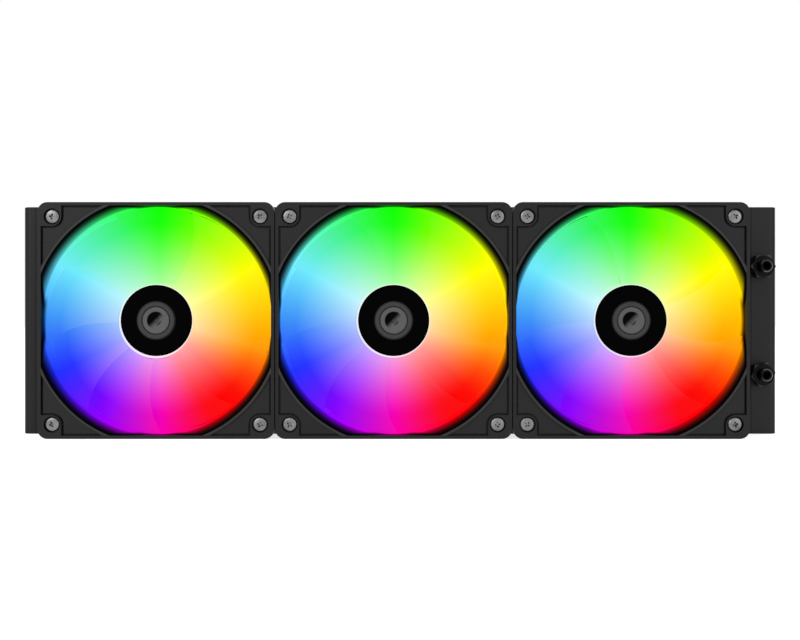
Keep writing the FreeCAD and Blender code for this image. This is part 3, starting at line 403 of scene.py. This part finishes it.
finishes = {
    "radiatorPaint": {"color": (0.0055, 0.0055, 0.006), "roughness": 0.42, "spread": 0.12, "grain": 1500.0,
                      "relief": 0.35, "specular": 0.24},
    "corePaint": {"color": (0.012, 0.012, 0.012), "roughness": 0.55, "grain": 1900.0, "relief": 0.3,
                  "specular": 0.35},
    "sealRubber": {"color": (0.010, 0.010, 0.010), "roughness": 0.7, "grain": 3200.0, "specular": 0.3},
    "magnetFerrite": {"color": (0.035, 0.033, 0.032), "roughness": 0.6, "grain": 3600.0, "relief": 0.5,
                      "specular": 0.4},
    "clipNylon": {"color": (0.62, 0.60, 0.54), "roughness": 0.45, "grain": 2400.0, "specular": 0.4},
    "lampPlastic": {"color": (0.78, 0.76, 0.66), "roughness": 0.35, "grain": 2800.0, "relief": 0.1,
                    "specular": 0.4},
}
metals = {  # stretch pulls the cutting marks out along the axes with small numbers
    "bareAluminium": {"color": (0.62, 0.62, 0.62), "tarnish": (0.45, 0.45, 0.45), "roughness": 0.40},
    "sinteredBronze": {"color": (0.45, 0.30, 0.16), "tarnish": (0.28, 0.18, 0.10), "roughness": 0.45,
                       "marks": 0.5},
    "yokeSteel": {"color": (0.48, 0.48, 0.46), "tarnish": (0.36, 0.36, 0.34), "roughness": 0.34,
                  "stretch": (1, 0.2, 1)},
    "shaftSteel": {"color": (0.62, 0.62, 0.63), "tarnish": (0.50, 0.50, 0.51), "roughness": 0.16,
                   "stretch": (0.2, 1, 0.2), "marks": 0.1},
    "screwSteel": {"color": (0.215, 0.215, 0.22), "tarnish": (0.10, 0.10, 0.105), "roughness": 0.38,
                   "stretch": (1.4, 0.6, 1.4), "marks": 0.45},
}


def makePlastic(name, values):
    material, tree, shader = startMaterial(name, values["specular"])
    coverWithGrain(tree, shader, objectPosition(tree), values["color"], values)
    return material


def makeMetal(name, values):
    material, tree, shader = startMaterial(name, metallic=1.0)
    inputs = {"Vector": objectPosition(tree), "Scale": values.get("stretch", (1, 1, 1))}
    stretched = addNode(tree, "ShaderNodeMapping", inputs).outputs[0]
    coverWithMetal(tree, shader, stretched, values["color"], values["tarnish"], values)
    return material


framePlastic = {  # radii, widths and depths in mm, depths from the fan's front
    "color": (0.0065, 0.0065, 0.007),
    "roughness": 0.46,
    "specular": 0.24,
    "relief": 0.30,
    "opening": 58.06,  # half the width between the straight sides
    "throat": 58.4,  # radius of the duct
    "bell": 62.55,  # radius of the bell mouth's edge
    "bellDepth": 4.8,
    "bellShadeColor": (0.001, 0.001, 0.001),
    "front": 20.0,  # the plastic behind it is plain
    "sideWidth": 58.6,  # half the width in which the straight sides' walls stand
    "sideFrom": 0.3,
    "lip": 63.2,  # radius of the painted highlight line
    "lipWidth": (0.5, 0.2),
    "lipDepth": 0.3,
    "lipHighlightColor": (0.034, 0.031, 0.030),
}
spill = {  # the lamps' light on the frame, sizes in mm
    "inward": 0.975,  # the duct's wall takes the light that falls just inside it
    "wall": 57.6,  # lit outside this radius
    "base": 32.0,  # and inside this one
    "depth": (23.6, 20.0),  # from dark to full light
    "side": (56.5, 57.6),  # where the straight sides' own shade starts, and where it is full
    "sideDepth": (1.5, 9.5),
    "sidePower": 2.2,
}


def bellMask(tree, radius, wide, depth, inside):
    # the bell mouth and the walls of the straight sides, which painted shade makes near-black
    front = below(tree, depth, framePlastic["front"] * mm)
    within = below(tree, radius, framePlastic["bell"])
    beside = below(tree, wide, framePlastic["sideWidth"] * mm)
    behind = addMath(tree, "GREATER_THAN", depth, framePlastic["sideFrom"] * mm)
    return largest(tree, product(tree, within, inside, front), product(tree, within, beside, behind, front))


def lipMask(tree, radius, depth, inside):
    # a narrow painted highlight on the front face, round the bell mouth
    line = addRange(tree, distanceFrom(tree, radius, framePlastic["lip"]), framePlastic["lipWidth"])
    return product(tree, line, below(tree, depth, framePlastic["lipDepth"] * mm), inside)


def spillMask(tree, radius, wide, depth, inside):
    # next to the straight sides the light only starts a little way in
    nearSide = addRange(tree, wide, inMetres(spill["side"]), kind="SMOOTHSTEP")
    reached = addRange(tree, depth, inMetres(spill["sideDepth"]), kind="SMOOTHSTEP")
    dark = addMath(tree, "SUBTRACT", 1.0, addMath(tree, "POWER", reached, spill["sidePower"]))
    sides = addMath(tree, "SUBTRACT", 1.0, product(tree, nearSide, dark))
    forward = addRange(tree, depth, inMetres(spill["depth"]))
    wall = addMath(tree, "GREATER_THAN", radius, spill["wall"])
    lit = largest(tree, wall, below(tree, radius, spill["base"]))
    return product(tree, inside, sides, forward, lit)


def makeFramePlastic(place):
    # painted shade makes the bell mouth near-black, and a painted highlight runs along the lip round it as
    # a paler line
    material, tree, shader = startMaterial(f"{place}FramePlastic", framePlastic["specular"])
    coordinates = objectPosition(tree)
    position = centredOn(tree, coordinates, place)
    light = placeGroup(tree, lampLight, {"Position": position})
    wallLight = placeGroup(tree, lampLight, {"Position": scaleVector(tree, position, spill["inward"])})
    radius = light["Radius"]
    axes = axesOf(tree, position)
    wide = largest(tree, addMath(tree, "ABSOLUTE", axes["X"]), addMath(tree, "ABSOLUTE", axes["Z"]))
    depth = addMath(tree, "SUBTRACT", axes["Y"], frontFace)
    onWall = below(tree, radius, framePlastic["throat"])
    hollow = largest(tree, below(tree, depth, framePlastic["bellDepth"] * mm), onWall)
    inside = product(tree, below(tree, wide, framePlastic["opening"] * mm), hollow)
    bell = bellMask(tree, radius, wide, depth, inside)
    lip = lipMask(tree, radius, depth, inside)
    plain = mixColors(tree, lip, framePlastic["color"], framePlastic["lipHighlightColor"])
    # painted shade: the bell mouth and the straight sides' walls turn near-black and metallic
    color = mixColors(tree, bell, plain, framePlastic["bellShadeColor"])
    coverWithGrain(tree, shader, coordinates, color, framePlastic)
    feed(tree, shader["Metallic"], bell)
    lightColor = mixColors(tree, onWall, light["Color"], wallLight["Color"])
    mask = spillMask(tree, radius, wide, depth, inside)
    shineWith(tree, shader, mixColors(tree, mask, black, lightColor))
    material.cycles.emission_sampling = "NONE"
    return material


litPlastic = {  # sizes in mm, lean up to 1 at the lower left, and pairs as in capPlastic
    "color": (0.004, 0.004, 0.004),
    "roughness": 0.5,
    "specular": 0.02,
    "relief": 0.1,
    "cap": 18.0,
    "lowerLeft": (-0.71, 0, -0.71),
    "ringLean": (-0.3, 1.0),
    "ringNarrow": 0.35,
    "ringWide": {"left": 1.3, "middle": 0.95, "right": 0.7},
    "ringEdge": (0.25, -0.15),
    "ringPale": 0.72,
    "shadow": {"left": 1.0, "middle": 0.35, "right": 0.15},
    "shadowLean": (0.3, 0.8),
    "shadowRise": (0.0, 0.25),
    "shadowFall": (0.9, 0.25),
    "shadowColor": (0.45, 0.42, 0.55),
}


def makeLitPlastic(place):
    material, tree, shader = startMaterial(f"{place}LitPlastic", litPlastic["specular"])
    coordinates = objectPosition(tree)
    coverWithGrain(tree, shader, coordinates, litPlastic["color"], litPlastic)
    position = centredOn(tree, coordinates, place)
    light = placeGroup(tree, lampLight, {"Position": position})
    way = addVectorMath(tree, "NORMALIZE", addVectorMath(tree, "MULTIPLY", position, (1, 0, 1)))
    lean = addVectorMath(tree, "DOT_PRODUCT", way, litPlastic["lowerLeft"], "Value")
    # the hub's rim is nearly white, widest at the lower left, where a soft shadow line follows it
    width = addRange(tree, lean, litPlastic["ringLean"], litPlastic["ringNarrow"],
                     litPlastic["ringWide"][place])
    beyond = addMath(tree, "SUBTRACT", addMath(tree, "SUBTRACT", light["Radius"], litPlastic["cap"]), width)
    ring = addRange(tree, beyond, litPlastic["ringEdge"], 0.0, litPlastic["ringPale"])
    line = product(tree, addRange(tree, beyond, litPlastic["shadowFall"]),
                   addRange(tree, beyond, litPlastic["shadowRise"]))
    strength = addRange(tree, lean, litPlastic["shadowLean"], 0.0, litPlastic["shadow"][place])
    ringed = mixColors(tree, ring, light["Color"], white)
    shown = mixColors(tree, product(tree, line, strength), ringed, litPlastic["shadowColor"], "MULTIPLY")
    shineWith(tree, shader, shown)
    return material


capPlastic = {  # radii and widths in mm, each pair from where a change starts to where it is full
    "color": (0.0008, 0.0008, 0.0008),
    "boss": (0.125, 0.125, 0.127),
    "paintedShade": (0.002, 0.002, 0.002),
    "roughness": 0.5,
    "specular": 0.01,
    "relief": 0.2,
    "tone": 0.08,
    "bossEdge": (10.0, 8.9),
    "bossStep": (7.6, 6.2),
    "upperLeft": (-0.71, 0, 0.71),
    "dish": (4.7, 4.3),
    "dishSide": (-1.3, 1.1),
    "crescent": 2.1,
    "crescentWidth": (0.6, 0.2),
    "crescentSide": (-1.4, -2.0),
    "crescentShade": 0.8,
    "groove": 7.0,
    "grooveWidth": (0.45, 0.15),
    "grooveShade": 0.6,
}


def makeCapPlastic(place):
    material, tree, shader = startMaterial(f"{place}CapPlastic", capPlastic["specular"])
    coordinates = objectPosition(tree)
    position = centredOn(tree, coordinates, place)
    radius = placeGroup(tree, lampLight, {"Position": position})["Radius"]
    # the boss is paler grey in two steps towards the middle; painted shade darkens the upper left of its
    # dish and its groove, and a painted shadow lies beside the nub at the lower right
    grey = addMath(tree, "ADD", addRange(tree, radius, capPlastic["bossEdge"], 0.0, 0.5),
                   addRange(tree, radius, capPlastic["bossStep"], 0.0, 0.5))
    bossGrey = mixColors(tree, grey, capPlastic["color"], capPlastic["boss"])
    upperLeft = [share / mm for share in capPlastic["upperLeft"]]
    lean = addVectorMath(tree, "DOT_PRODUCT", position, upperLeft, "Value")
    low = product(tree, addRange(tree, lean, capPlastic["dishSide"]),
                  addRange(tree, radius, capPlastic["dish"]))
    beside = addRange(tree, distanceFrom(tree, radius, capPlastic["crescent"]), capPlastic["crescentWidth"])
    under = addRange(tree, lean, capPlastic["crescentSide"], 0.0, capPlastic["crescentShade"])
    groove = addRange(tree, distanceFrom(tree, radius, capPlastic["groove"]), capPlastic["grooveWidth"])
    paintedShade = largest(tree, low, product(tree, beside, under), product(tree, groove, capPlastic["grooveShade"]))
    color = mixColors(tree, paintedShade, bossGrey, capPlastic["paintedShade"])
    coverWithGrain(tree, shader, coordinates, color, capPlastic)
    return material


stackSteel = {"color": (0.40, 0.40, 0.39), "tarnish": (0.26, 0.26, 0.25), "roughness": 0.42,
              "gapColor": (0.10, 0.09, 0.08), "gap": (0.0, 0.35), "scale": 320.0, "distortion": 0.3,
              "detail": 2.0, "relief": 0.5, "height": 0.1}


def makeStackSteel():
    # the stator's laminations show as fine lines round its height
    material, tree, shader = startMaterial("stackSteel", metallic=1.0)
    position = objectPosition(tree)
    sheets = addRange(tree, addWave(tree, position, stackSteel), stackSteel["gap"])
    metal = coverWithMetal(tree, shader, position, stackSteel["color"], stackSteel["tarnish"], stackSteel)
    feed(tree, shader["Base Color"], mixColors(tree, sheets, stackSteel["gapColor"], metal["Color"]))
    feed(tree, shader["Normal"], addBump(tree, sheets, stackSteel["relief"], stackSteel["height"],
                                         metal["Normal"]))
    return material


copperWire = {"color": (0.60, 0.24, 0.10), "tarnish": (0.42, 0.15, 0.06), "roughness": 0.30,
              "grooveColor": (0.24, 0.08, 0.03), "scale": 1100.0, "distortion": 0.6, "detail": 1.0,
              "relief": 0.6, "height": 0.2}


def makeCopperWire():
    # turns of enamelled wire side by side
    material, tree, shader = startMaterial("copperWire", metallic=1.0)
    position = objectPosition(tree)
    wires = addWave(tree, position, copperWire)
    metal = coverWithMetal(tree, shader, position, copperWire["color"], copperWire["tarnish"], copperWire)
    feed(tree, shader["Base Color"], mixColors(tree, wires, copperWire["grooveColor"], metal["Color"]))
    feed(tree, shader["Normal"], addBump(tree, wires, copperWire["relief"], copperWire["height"]))
    return material


boardCoat = {"color": (0.012, 0.065, 0.030), "traceColor": (0.030, 0.130, 0.055), "roughness": 0.28,
             "relief": 0.08, "scale": 420.0, "trace": (0.06, 0.10)}


def makeBoardCoat():
    # green lacquer over copper traces
    material, tree, shader = startMaterial("boardCoat")
    position = objectPosition(tree)
    cells = addNode(tree, "ShaderNodeTexVoronoi", {"Vector": position, "Scale": boardCoat["scale"]},
                    feature="DISTANCE_TO_EDGE", distance="MANHATTAN")
    beside = addRange(tree, cells.outputs["Distance"], boardCoat["trace"])
    color = mixColors(tree, beside, boardCoat["traceColor"], boardCoat["color"])
    coverWithGrain(tree, shader, position, color, boardCoat)
    return material


fittingMetal = {"color": (0.0075, 0.0075, 0.008), "edgeHighlightColor": (0.105, 0.105, 0.11), "roughness": 0.32,
                "specular": 0.3, "marks": 0.3, "slopeFrom": (0.12, 0.35), "slopeTo": (0.985, 0.93),
                "patchScale": 260.0, "patchDetail": 3.0, "patch": (0.35, 0.6), "patchLeast": 0.35}


def makeFittingMetal():
    # black plating, with a painted highlight along the chamfers and rounded edges that face partly forward
    material, tree, shader = startMaterial("fittingMetal", fittingMetal["specular"], 1.0)
    position = objectPosition(tree)
    normal = addNode(tree, "ShaderNodeTexCoord").outputs["Normal"]
    front = product(tree, axesOf(tree, normal)["Y"], -1.0)
    slope = product(tree, addRange(tree, front, fittingMetal["slopeFrom"]),
                    addRange(tree, front, fittingMetal["slopeTo"]))
    patches = addNoise(tree, position, fittingMetal["patchScale"], fittingMetal["patchDetail"])
    share = addRange(tree, patches, fittingMetal["patch"], fittingMetal["patchLeast"], 1.0)
    color = mixColors(tree, product(tree, slope, share), fittingMetal["color"], fittingMetal["edgeHighlightColor"])
    coverWithMetal(tree, shader, position, color, color, fittingMetal)
    return material


tankPaint = {  # places from the radiator's middle and widths in mm
    "shadeAndLineColor": (0.0008, 0.0008, 0.0008),
    "ends": (196.8, 198.0),
    "endsShade": 0.75,
    "lineWidth": (0.35, 0.15),
    # the lines at -192.6 and 185.7 are painted shadow where a frame meets the tank
    "lines": {-196.5: 0.20, -194.7: 0.22, -193.5: 0.25, -192.6: 0.65, 185.7: 0.45},  # place and how dark
}


def makeTankPaint():
    # the radiator's paint, darkened along the ends by painted shade, with fine dark pressed lines beside
    # the fans and a painted shadow where each frame meets the tank
    values = finishes["radiatorPaint"]
    material, tree, shader = startMaterial("tankPaint", values["specular"])
    position = objectPosition(tree)
    across = product(tree, axesOf(tree, position)["X"], 1 / mm)
    linesAndShade = addRange(tree, addMath(tree, "ABSOLUTE", across), tankPaint["ends"], 0.0, tankPaint["endsShade"])
    for spot, share in tankPaint["lines"].items():
        line = addRange(tree, distanceFrom(tree, across, spot), tankPaint["lineWidth"], 0.0, share)
        linesAndShade = largest(tree, linesAndShade, line)
    color = mixColors(tree, linesAndShade, values["color"], tankPaint["shadeAndLineColor"])
    coverWithGrain(tree, shader, position, color, values)
    feed(tree, shader["Metallic"], linesAndShade)
    return material


finPaint = {"color": (0.026, 0.026, 0.027), "slitColor": (0.006, 0.006, 0.006), "roughness": 0.5,
            "specular": 0.3, "grain": 1900.0, "relief": 0.2, "scale": 285.0, "distortion": 0.0,
            "detail": 2.0, "slit": (0.0, 0.22), "slitRelief": 0.6, "slitHeight": 0.2}


def makeFinPaint():
    # thin black paint over louvres that are cut across each fold
    material, tree, shader = startMaterial("finPaint", finPaint["specular"])
    position = objectPosition(tree)
    louvres = addWave(tree, position, finPaint, "SAW")
    sheet = addRange(tree, louvres, finPaint["slit"])
    color = mixColors(tree, sheet, finPaint["slitColor"], finPaint["color"])
    grain = coverWithGrain(tree, shader, position, color, finPaint)
    feed(tree, shader["Normal"], addBump(tree, louvres, finPaint["slitRelief"], finPaint["slitHeight"],
                                         grain["Normal"]))
    return material


coreGlow = {"rim": 57.9, "depth": (9.0, 4.0)}  # radius, and Y from dark to full light, in mm


def lightFromFans(material):
    # the fans' light on the core close behind them
    tree = material.node_tree
    shader = tree.nodes["Principled BSDF"].inputs
    middle = fanMiddle["middle"]
    half = (middle.x - fanMiddle["left"].x) / 2
    axes = axesOf(tree, objectPosition(tree))
    across = addMath(tree, "SUBTRACT", axes["X"], middle.x)
    nearest = addNode(tree, "ShaderNodeMath", {0: across, 1: half, 2: -half}, operation="WRAP").outputs[0]
    up = addMath(tree, "SUBTRACT", axes["Z"], middle.z)
    fromAxis = addNode(tree, "ShaderNodeCombineXYZ", {0: nearest, 2: up}).outputs[0]
    light = placeGroup(tree, lampLight, {"Position": fromAxis})
    behind = below(tree, addMath(tree, "ABSOLUTE", across), len(places) * half)
    within = product(tree, behind, below(tree, light["Radius"], coreGlow["rim"]))
    fade = addRange(tree, axes["Y"], inMetres(coreGlow["depth"]))
    shineWith(tree, shader, mixColors(tree, product(tree, within, fade), black, light["Color"]))
    material.cycles.emission_sampling = "NONE"


materials = {name: makePlastic(name, values) for name, values in finishes.items()}
materials.update({name: makeMetal(name, values) for name, values in metals.items()})
materials["fittingMetal"] = makeFittingMetal()
materials["tankPaint"] = makeTankPaint()
materials["finPaint"] = makeFinPaint()
materials["stackSteel"] = makeStackSteel()
materials["copperWire"] = makeCopperWire()
materials["boardCoat"] = makeBoardCoat()
for name in ("radiatorPaint", "corePaint", "finPaint"):
    lightFromFans(materials[name])
for place in places:
    materials[f"{place}Frame"] = makeFramePlastic(place)
    materials[f"{place}Lit"] = makeLitPlastic(place)
    materials[f"{place}Cap"] = makeCapPlastic(place)
print("materials ready,", len(materials))


edgeFinish = {"merge": 1e-6, "smooth": 32, "flat": 0.5, "segments": 2}  # metres and degrees


def makeSmoothing():
    # joins the loose triangles and shades them smooth up to an angle
    group = bpy.data.node_groups.new("smoothUpTo", "GeometryNodeTree")
    group.interface.new_socket("Geometry", in_out="INPUT", socket_type="NodeSocketGeometry")
    group.interface.new_socket("Angle", in_out="INPUT", socket_type="NodeSocketFloat")
    group.interface.new_socket("Geometry", in_out="OUTPUT", socket_type="NodeSocketGeometry")
    start = group.nodes.new("NodeGroupInput").outputs
    end = group.nodes.new("NodeGroupOutput").inputs
    merged = addNode(group, "GeometryNodeMergeByDistance", {"Geometry": start["Geometry"],
                                                            "Distance": edgeFinish["merge"]})
    smooth = addNode(group, "GeometryNodeSetShadeSmooth", {0: merged.outputs[0]}, domain="FACE")
    angle = addNode(group, "GeometryNodeInputMeshEdgeAngle").outputs["Unsigned Angle"]
    sharp = addNode(group, "FunctionNodeCompare", {0: angle, 1: start["Angle"]}, data_type="FLOAT",
                    operation="GREATER_THAN").outputs[0]
    edges = addNode(group, "GeometryNodeSetShadeSmooth", {0: smooth.outputs[0], "Selection": sharp,
                                                          "Shade Smooth": False}, domain="EDGE")
    feed(group, end["Geometry"], edges.outputs[0])
    return group


smoothUpTo = makeSmoothing()


def softenEdges(piece, width):
    smoothing = piece.modifiers.new("smoothing", "NODES")
    smoothing.node_group = smoothUpTo
    angleSocket = next(item.identifier for item in smoothUpTo.interface.items_tree if item.name == "Angle")
    smoothing[angleSocket] = math.radians(edgeFinish["smooth"])
    if not width:
        return
    flat = piece.modifiers.new("flatFaces", "DECIMATE")
    flat.decimate_type = "DISSOLVE"
    flat.angle_limit = math.radians(edgeFinish["flat"])
    flat.delimit = {"SHARP"}
    rounded = piece.modifiers.new("roundedEdges", "BEVEL")
    rounded.width = width
    rounded.segments = edgeFinish["segments"]
    rounded.limit_method = "ANGLE"
    rounded.angle_limit = math.radians(edgeFinish["smooth"])
    rounded.harden_normals = True


# material and edge radius in mm, where Frame, Lit and Cap are each fan's own
fanFinish = {
    "fan_frame": ("Frame", 0.25),
    "impeller": ("Lit", 0.0),
    "hub_cap": ("Cap", 0.0),
    "rotor_yoke": ("yokeSteel", 0.1),
    "magnet_ring": ("magnetFerrite", 0.1),
    "shaft": ("shaftSteel", 0.0),
    "retaining_clip": ("clipNylon", 0.05),
    "bearing_sleeve": ("sinteredBronze", 0.0),
    "stator_core": ("stackSteel", 0.05),
    "stator_windings": ("copperWire", 0.3),
    "circuit_board": ("boardCoat", 0.05),
    "lamp_group": ("lampPlastic", 0.1),
}
radiatorFinish = {
    "left_end_tank": ("tankPaint", 0.4),
    "right_end_tank": ("tankPaint", 0.4),
    "top_side_rail": ("radiatorPaint", 0.3),
    "bottom_side_rail": ("radiatorPaint", 0.3),
    "left_header_plate": ("bareAluminium", 0.0),
    "right_header_plate": ("bareAluminium", 0.0),
    "tank_divider": ("bareAluminium", 0.1),
    "flat_tubes": ("corePaint", 0.0),
    "upper_hose_fitting": ("fittingMetal", 0.15),
    "lower_hose_fitting": ("fittingMetal", 0.15),
    "upper_fitting_seal": ("sealRubber", 0.0),
    "lower_fitting_seal": ("sealRubber", 0.0),
}


def dress(name, materialName, width):
    piece = nodes[name]
    piece.data.materials.clear()
    piece.data.materials.append(materials[materialName])
    softenEdges(piece, width * mm)


for place in places:
    for kind, (materialName, width) in fanFinish.items():
        own = f"{place}{materialName}"
        dress(f"{place}_{kind}", own if own in materials else materialName, width)
for name, (materialName, width) in radiatorFinish.items():
    dress(name, materialName, width)
print("nodes dressed")


def makePiece(name, mesh, material, body):
    data = bpy.data.meshes.new(name)
    mesh.to_mesh(data)
    mesh.free()
    data.materials.append(materials[material])
    piece = addObject(name, data)
    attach(piece, body)
    return piece


def cutAway(mesh, cutter):
    # takes the cutter's shape out of the mesh
    blank = bpy.data.meshes.new("blank")
    mesh.to_mesh(blank)
    knife = bpy.data.meshes.new("knife")
    cutter.to_mesh(knife)
    cutter.free()
    work = addObject("work", blank)
    tool = addObject("tool", knife)
    cut = work.modifiers.new("cut", "BOOLEAN")
    cut.object = tool
    cut.operation = "DIFFERENCE"
    cut.solver = "EXACT"
    cut.use_self = True
    bpy.context.view_layer.update()
    result = bpy.data.meshes.new_from_object(work.evaluated_get(bpy.context.evaluated_depsgraph_get()))
    mesh.clear()
    mesh.from_mesh(result)
    for item in (work, tool):
        bpy.data.objects.remove(item)
    for data in (blank, knife, result):
        bpy.data.meshes.remove(data)


def shadeSmooth(mesh, limit):
    for face in mesh.faces:
        face.smooth = True
    for edge in mesh.edges:
        if len(edge.link_faces) == 2:
            edge.smooth = edge.calc_face_angle() < math.radians(limit)


def addStrip(mesh, points):
    # vertices joined in a row by edges, for a spin or an extrusion
    verts = [mesh.verts.new(point) for point in points]
    edges = [mesh.edges.new(pair) for pair in zip(verts, verts[1:])]
    return verts, edges


def turnAboutY(mesh, verts, degrees):
    turn = Matrix.Rotation(math.radians(degrees), 3, "Y")
    bmesh.ops.rotate(mesh, verts=verts, cent=(0, 0, 0), matrix=turn)


# Pan head screw, made with its head's seat at the origin and its head towards -Y, sizes in mm
screw = {
    "head": [(0.0, -2.10), (1.6, -2.07), (2.6, -1.98), (3.15, -1.84), (3.42, -1.60), (3.53, -1.25),
             (3.55, -0.12), (3.46, 0.0), (1.62, 0.0)],  # radius and depth
    "shank": {"radius": 1.45, "start": 0.4, "taper": 0.8, "tipRadius": 0.8, "tip": 0.1},
    "thread": {"radius": 1.73, "root": 1.43, "pitch": 0.79, "start": 1.2, "end": 2.0, "steps": 16,
               "crest": (0.3, 0.4), "width": 0.7},  # crest and width in pitches
    "cross": {"reach": 1.95, "width": 1.05, "depth": 1.5, "bottom": (0.45, 1, 0.8)},
    "steps": 48,
    "smooth": 30,  # degrees
    "inset": 52.5,  # from the fan's middle, across and up
    "turns": (8, 47, 71, 22, 64, 15, 33, 80, 12, 55, 38, 76),  # degrees, one for each screw
}


def cutCross(mesh, top):
    cross = screw["cross"]
    cutter = bmesh.new()
    for turn in (0, 90):
        box = bmesh.ops.create_cube(cutter, size=1)["verts"]
        size = inMetres((2 * cross["reach"], 2 * cross["depth"], cross["width"]))
        bmesh.ops.scale(cutter, verts=box, vec=size)
        bottom = [vert for vert in box if vert.co.y > 0]
        bmesh.ops.scale(cutter, verts=bottom, vec=cross["bottom"])
        bmesh.ops.translate(cutter, verts=box, vec=(0, top, 0))
        turnAboutY(cutter, box, turn)
    cutAway(mesh, cutter)


def windThread(mesh, length):
    # a ridge wound along the shank
    thread = screw["thread"]
    pitch = thread["pitch"] * mm
    start = thread["start"] * mm
    root = thread["root"] * mm
    ridge = [(root, start, 0)]
    ridge += [(thread["radius"] * mm, start + share * pitch, 0) for share in thread["crest"]]
    ridge += [(root, start + thread["width"] * pitch, 0)]
    turns = int((length - start - thread["end"] * mm) / pitch)
    verts, edges = addStrip(mesh, ridge)
    bmesh.ops.spin(mesh, geom=verts + edges, cent=(0, 0, 0), axis=(0, 1, 0), angle=2 * math.pi * turns,
                   steps=thread["steps"] * turns, dvec=(0, pitch / thread["steps"], 0))


def makeScrew(length):
    mesh = bmesh.new()
    shank = screw["shank"]
    profile = [inMetres(point) for point in screw["head"]]
    profile += [(shank["radius"] * mm, shank["start"] * mm),
                (shank["radius"] * mm, length - shank["taper"] * mm),
                (shank["tipRadius"] * mm, length - shank["tip"] * mm),
                (0.0, length)]
    verts, edges = addStrip(mesh, [(radius, depth, 0) for radius, depth in profile])
    bmesh.ops.spin(mesh, geom=verts + edges, cent=(0, 0, 0), axis=(0, 1, 0), angle=2 * math.pi,
                   steps=screw["steps"], use_merge=True)
    bmesh.ops.remove_doubles(mesh, verts=mesh.verts, dist=edgeFinish["merge"])
    bmesh.ops.recalc_face_normals(mesh, faces=mesh.faces)
    cutCross(mesh, profile[0][1])
    windThread(mesh, length)
    shadeSmooth(mesh, screw["smooth"])
    data = bpy.data.meshes.new("screwPattern")
    mesh.to_mesh(data)
    mesh.free()
    return data


def placeScrews(place, pattern, seat, turns):
    group = bmesh.new()
    middle = fanMiddle[place]
    inset = screw["inset"] * mm
    for across, up in ((-1, 1), (1, 1), (-1, -1), (1, -1)):
        before = len(group.verts)
        group.from_mesh(pattern)
        group.verts.ensure_lookup_table()
        added = group.verts[before:]
        turnAboutY(group, added, next(turns))
        spot = (middle.x + across * inset, seat, middle.z + up * inset)
        bmesh.ops.translate(group, verts=added, vec=spot)
    piece = makePiece(f"{place}PanHeadScrews", group, "screwSteel", "radiator_and_frames")
    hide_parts(f"{place}_fan_screws")


low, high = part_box("middle_fan_screws")
seat = low.y - screw["head"][0][1] * mm
screwPattern = makeScrew(high.y - seat)
turns = iter(screw["turns"])
for place in places:
    placeScrews(place, screwPattern, seat, turns)
bpy.data.meshes.remove(screwPattern)
print("screws ready")


# Corrugated fins: one fold's outline, repeated along the core and between the tubes, sizes in mm
fins = {
    "pitch": 1.27,
    "sheet": 0.12,
    "crest": 0.2,  # in pitches
    "packs": 13,
    "tube": 2.0,
    "clear": 0.15,
    "merge": 0.01,
}


def repeat(piece, name, count, step):
    row = piece.modifiers.new(name, "ARRAY")
    row.count = count
    row.use_relative_offset = False
    row.use_constant_offset = True
    row.constant_offset_displace = step
    return row


def makeFins():
    low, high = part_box("fin_packs")
    tube = fins["tube"] * mm
    packHeight = (high.z - low.z - (fins["packs"] - 1) * tube) / fins["packs"]
    folds = round((high.x - low.x) / (fins["pitch"] * mm))
    pitch = (high.x - low.x) / folds
    flat = fins["crest"] / 2
    foot = low.z + fins["clear"] * mm
    head = low.z + packHeight - fins["clear"] * mm
    mesh = bmesh.new()
    shape = [(0, foot), (flat, foot), (0.5 - flat, head), (0.5 + flat, head), (1 - flat, foot), (1, foot)]
    points = [(low.x + share * pitch, low.y, height) for share, height in shape]
    swept = bmesh.ops.extrude_edge_only(mesh, edges=addStrip(mesh, points)[1])
    moved = [item for item in swept["geom"] if isinstance(item, bmesh.types.BMVert)]
    bmesh.ops.translate(mesh, verts=moved, vec=(0, high.y - low.y, 0))
    bmesh.ops.recalc_face_normals(mesh, faces=mesh.faces)
    piece = makePiece("corrugatedFins", mesh, "finPaint", "radiator_and_frames")
    along = repeat(piece, "folds", folds, (pitch, 0, 0))
    along.use_merge_vertices = True
    along.merge_threshold = fins["merge"] * mm
    sheet = piece.modifiers.new("sheet", "SOLIDIFY")
    sheet.thickness = fins["sheet"] * mm
    sheet.offset = 0
    repeat(piece, "packs", fins["packs"], (0, 0, packHeight + tube))
    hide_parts("fin_packs")


makeFins()
print("fins ready")
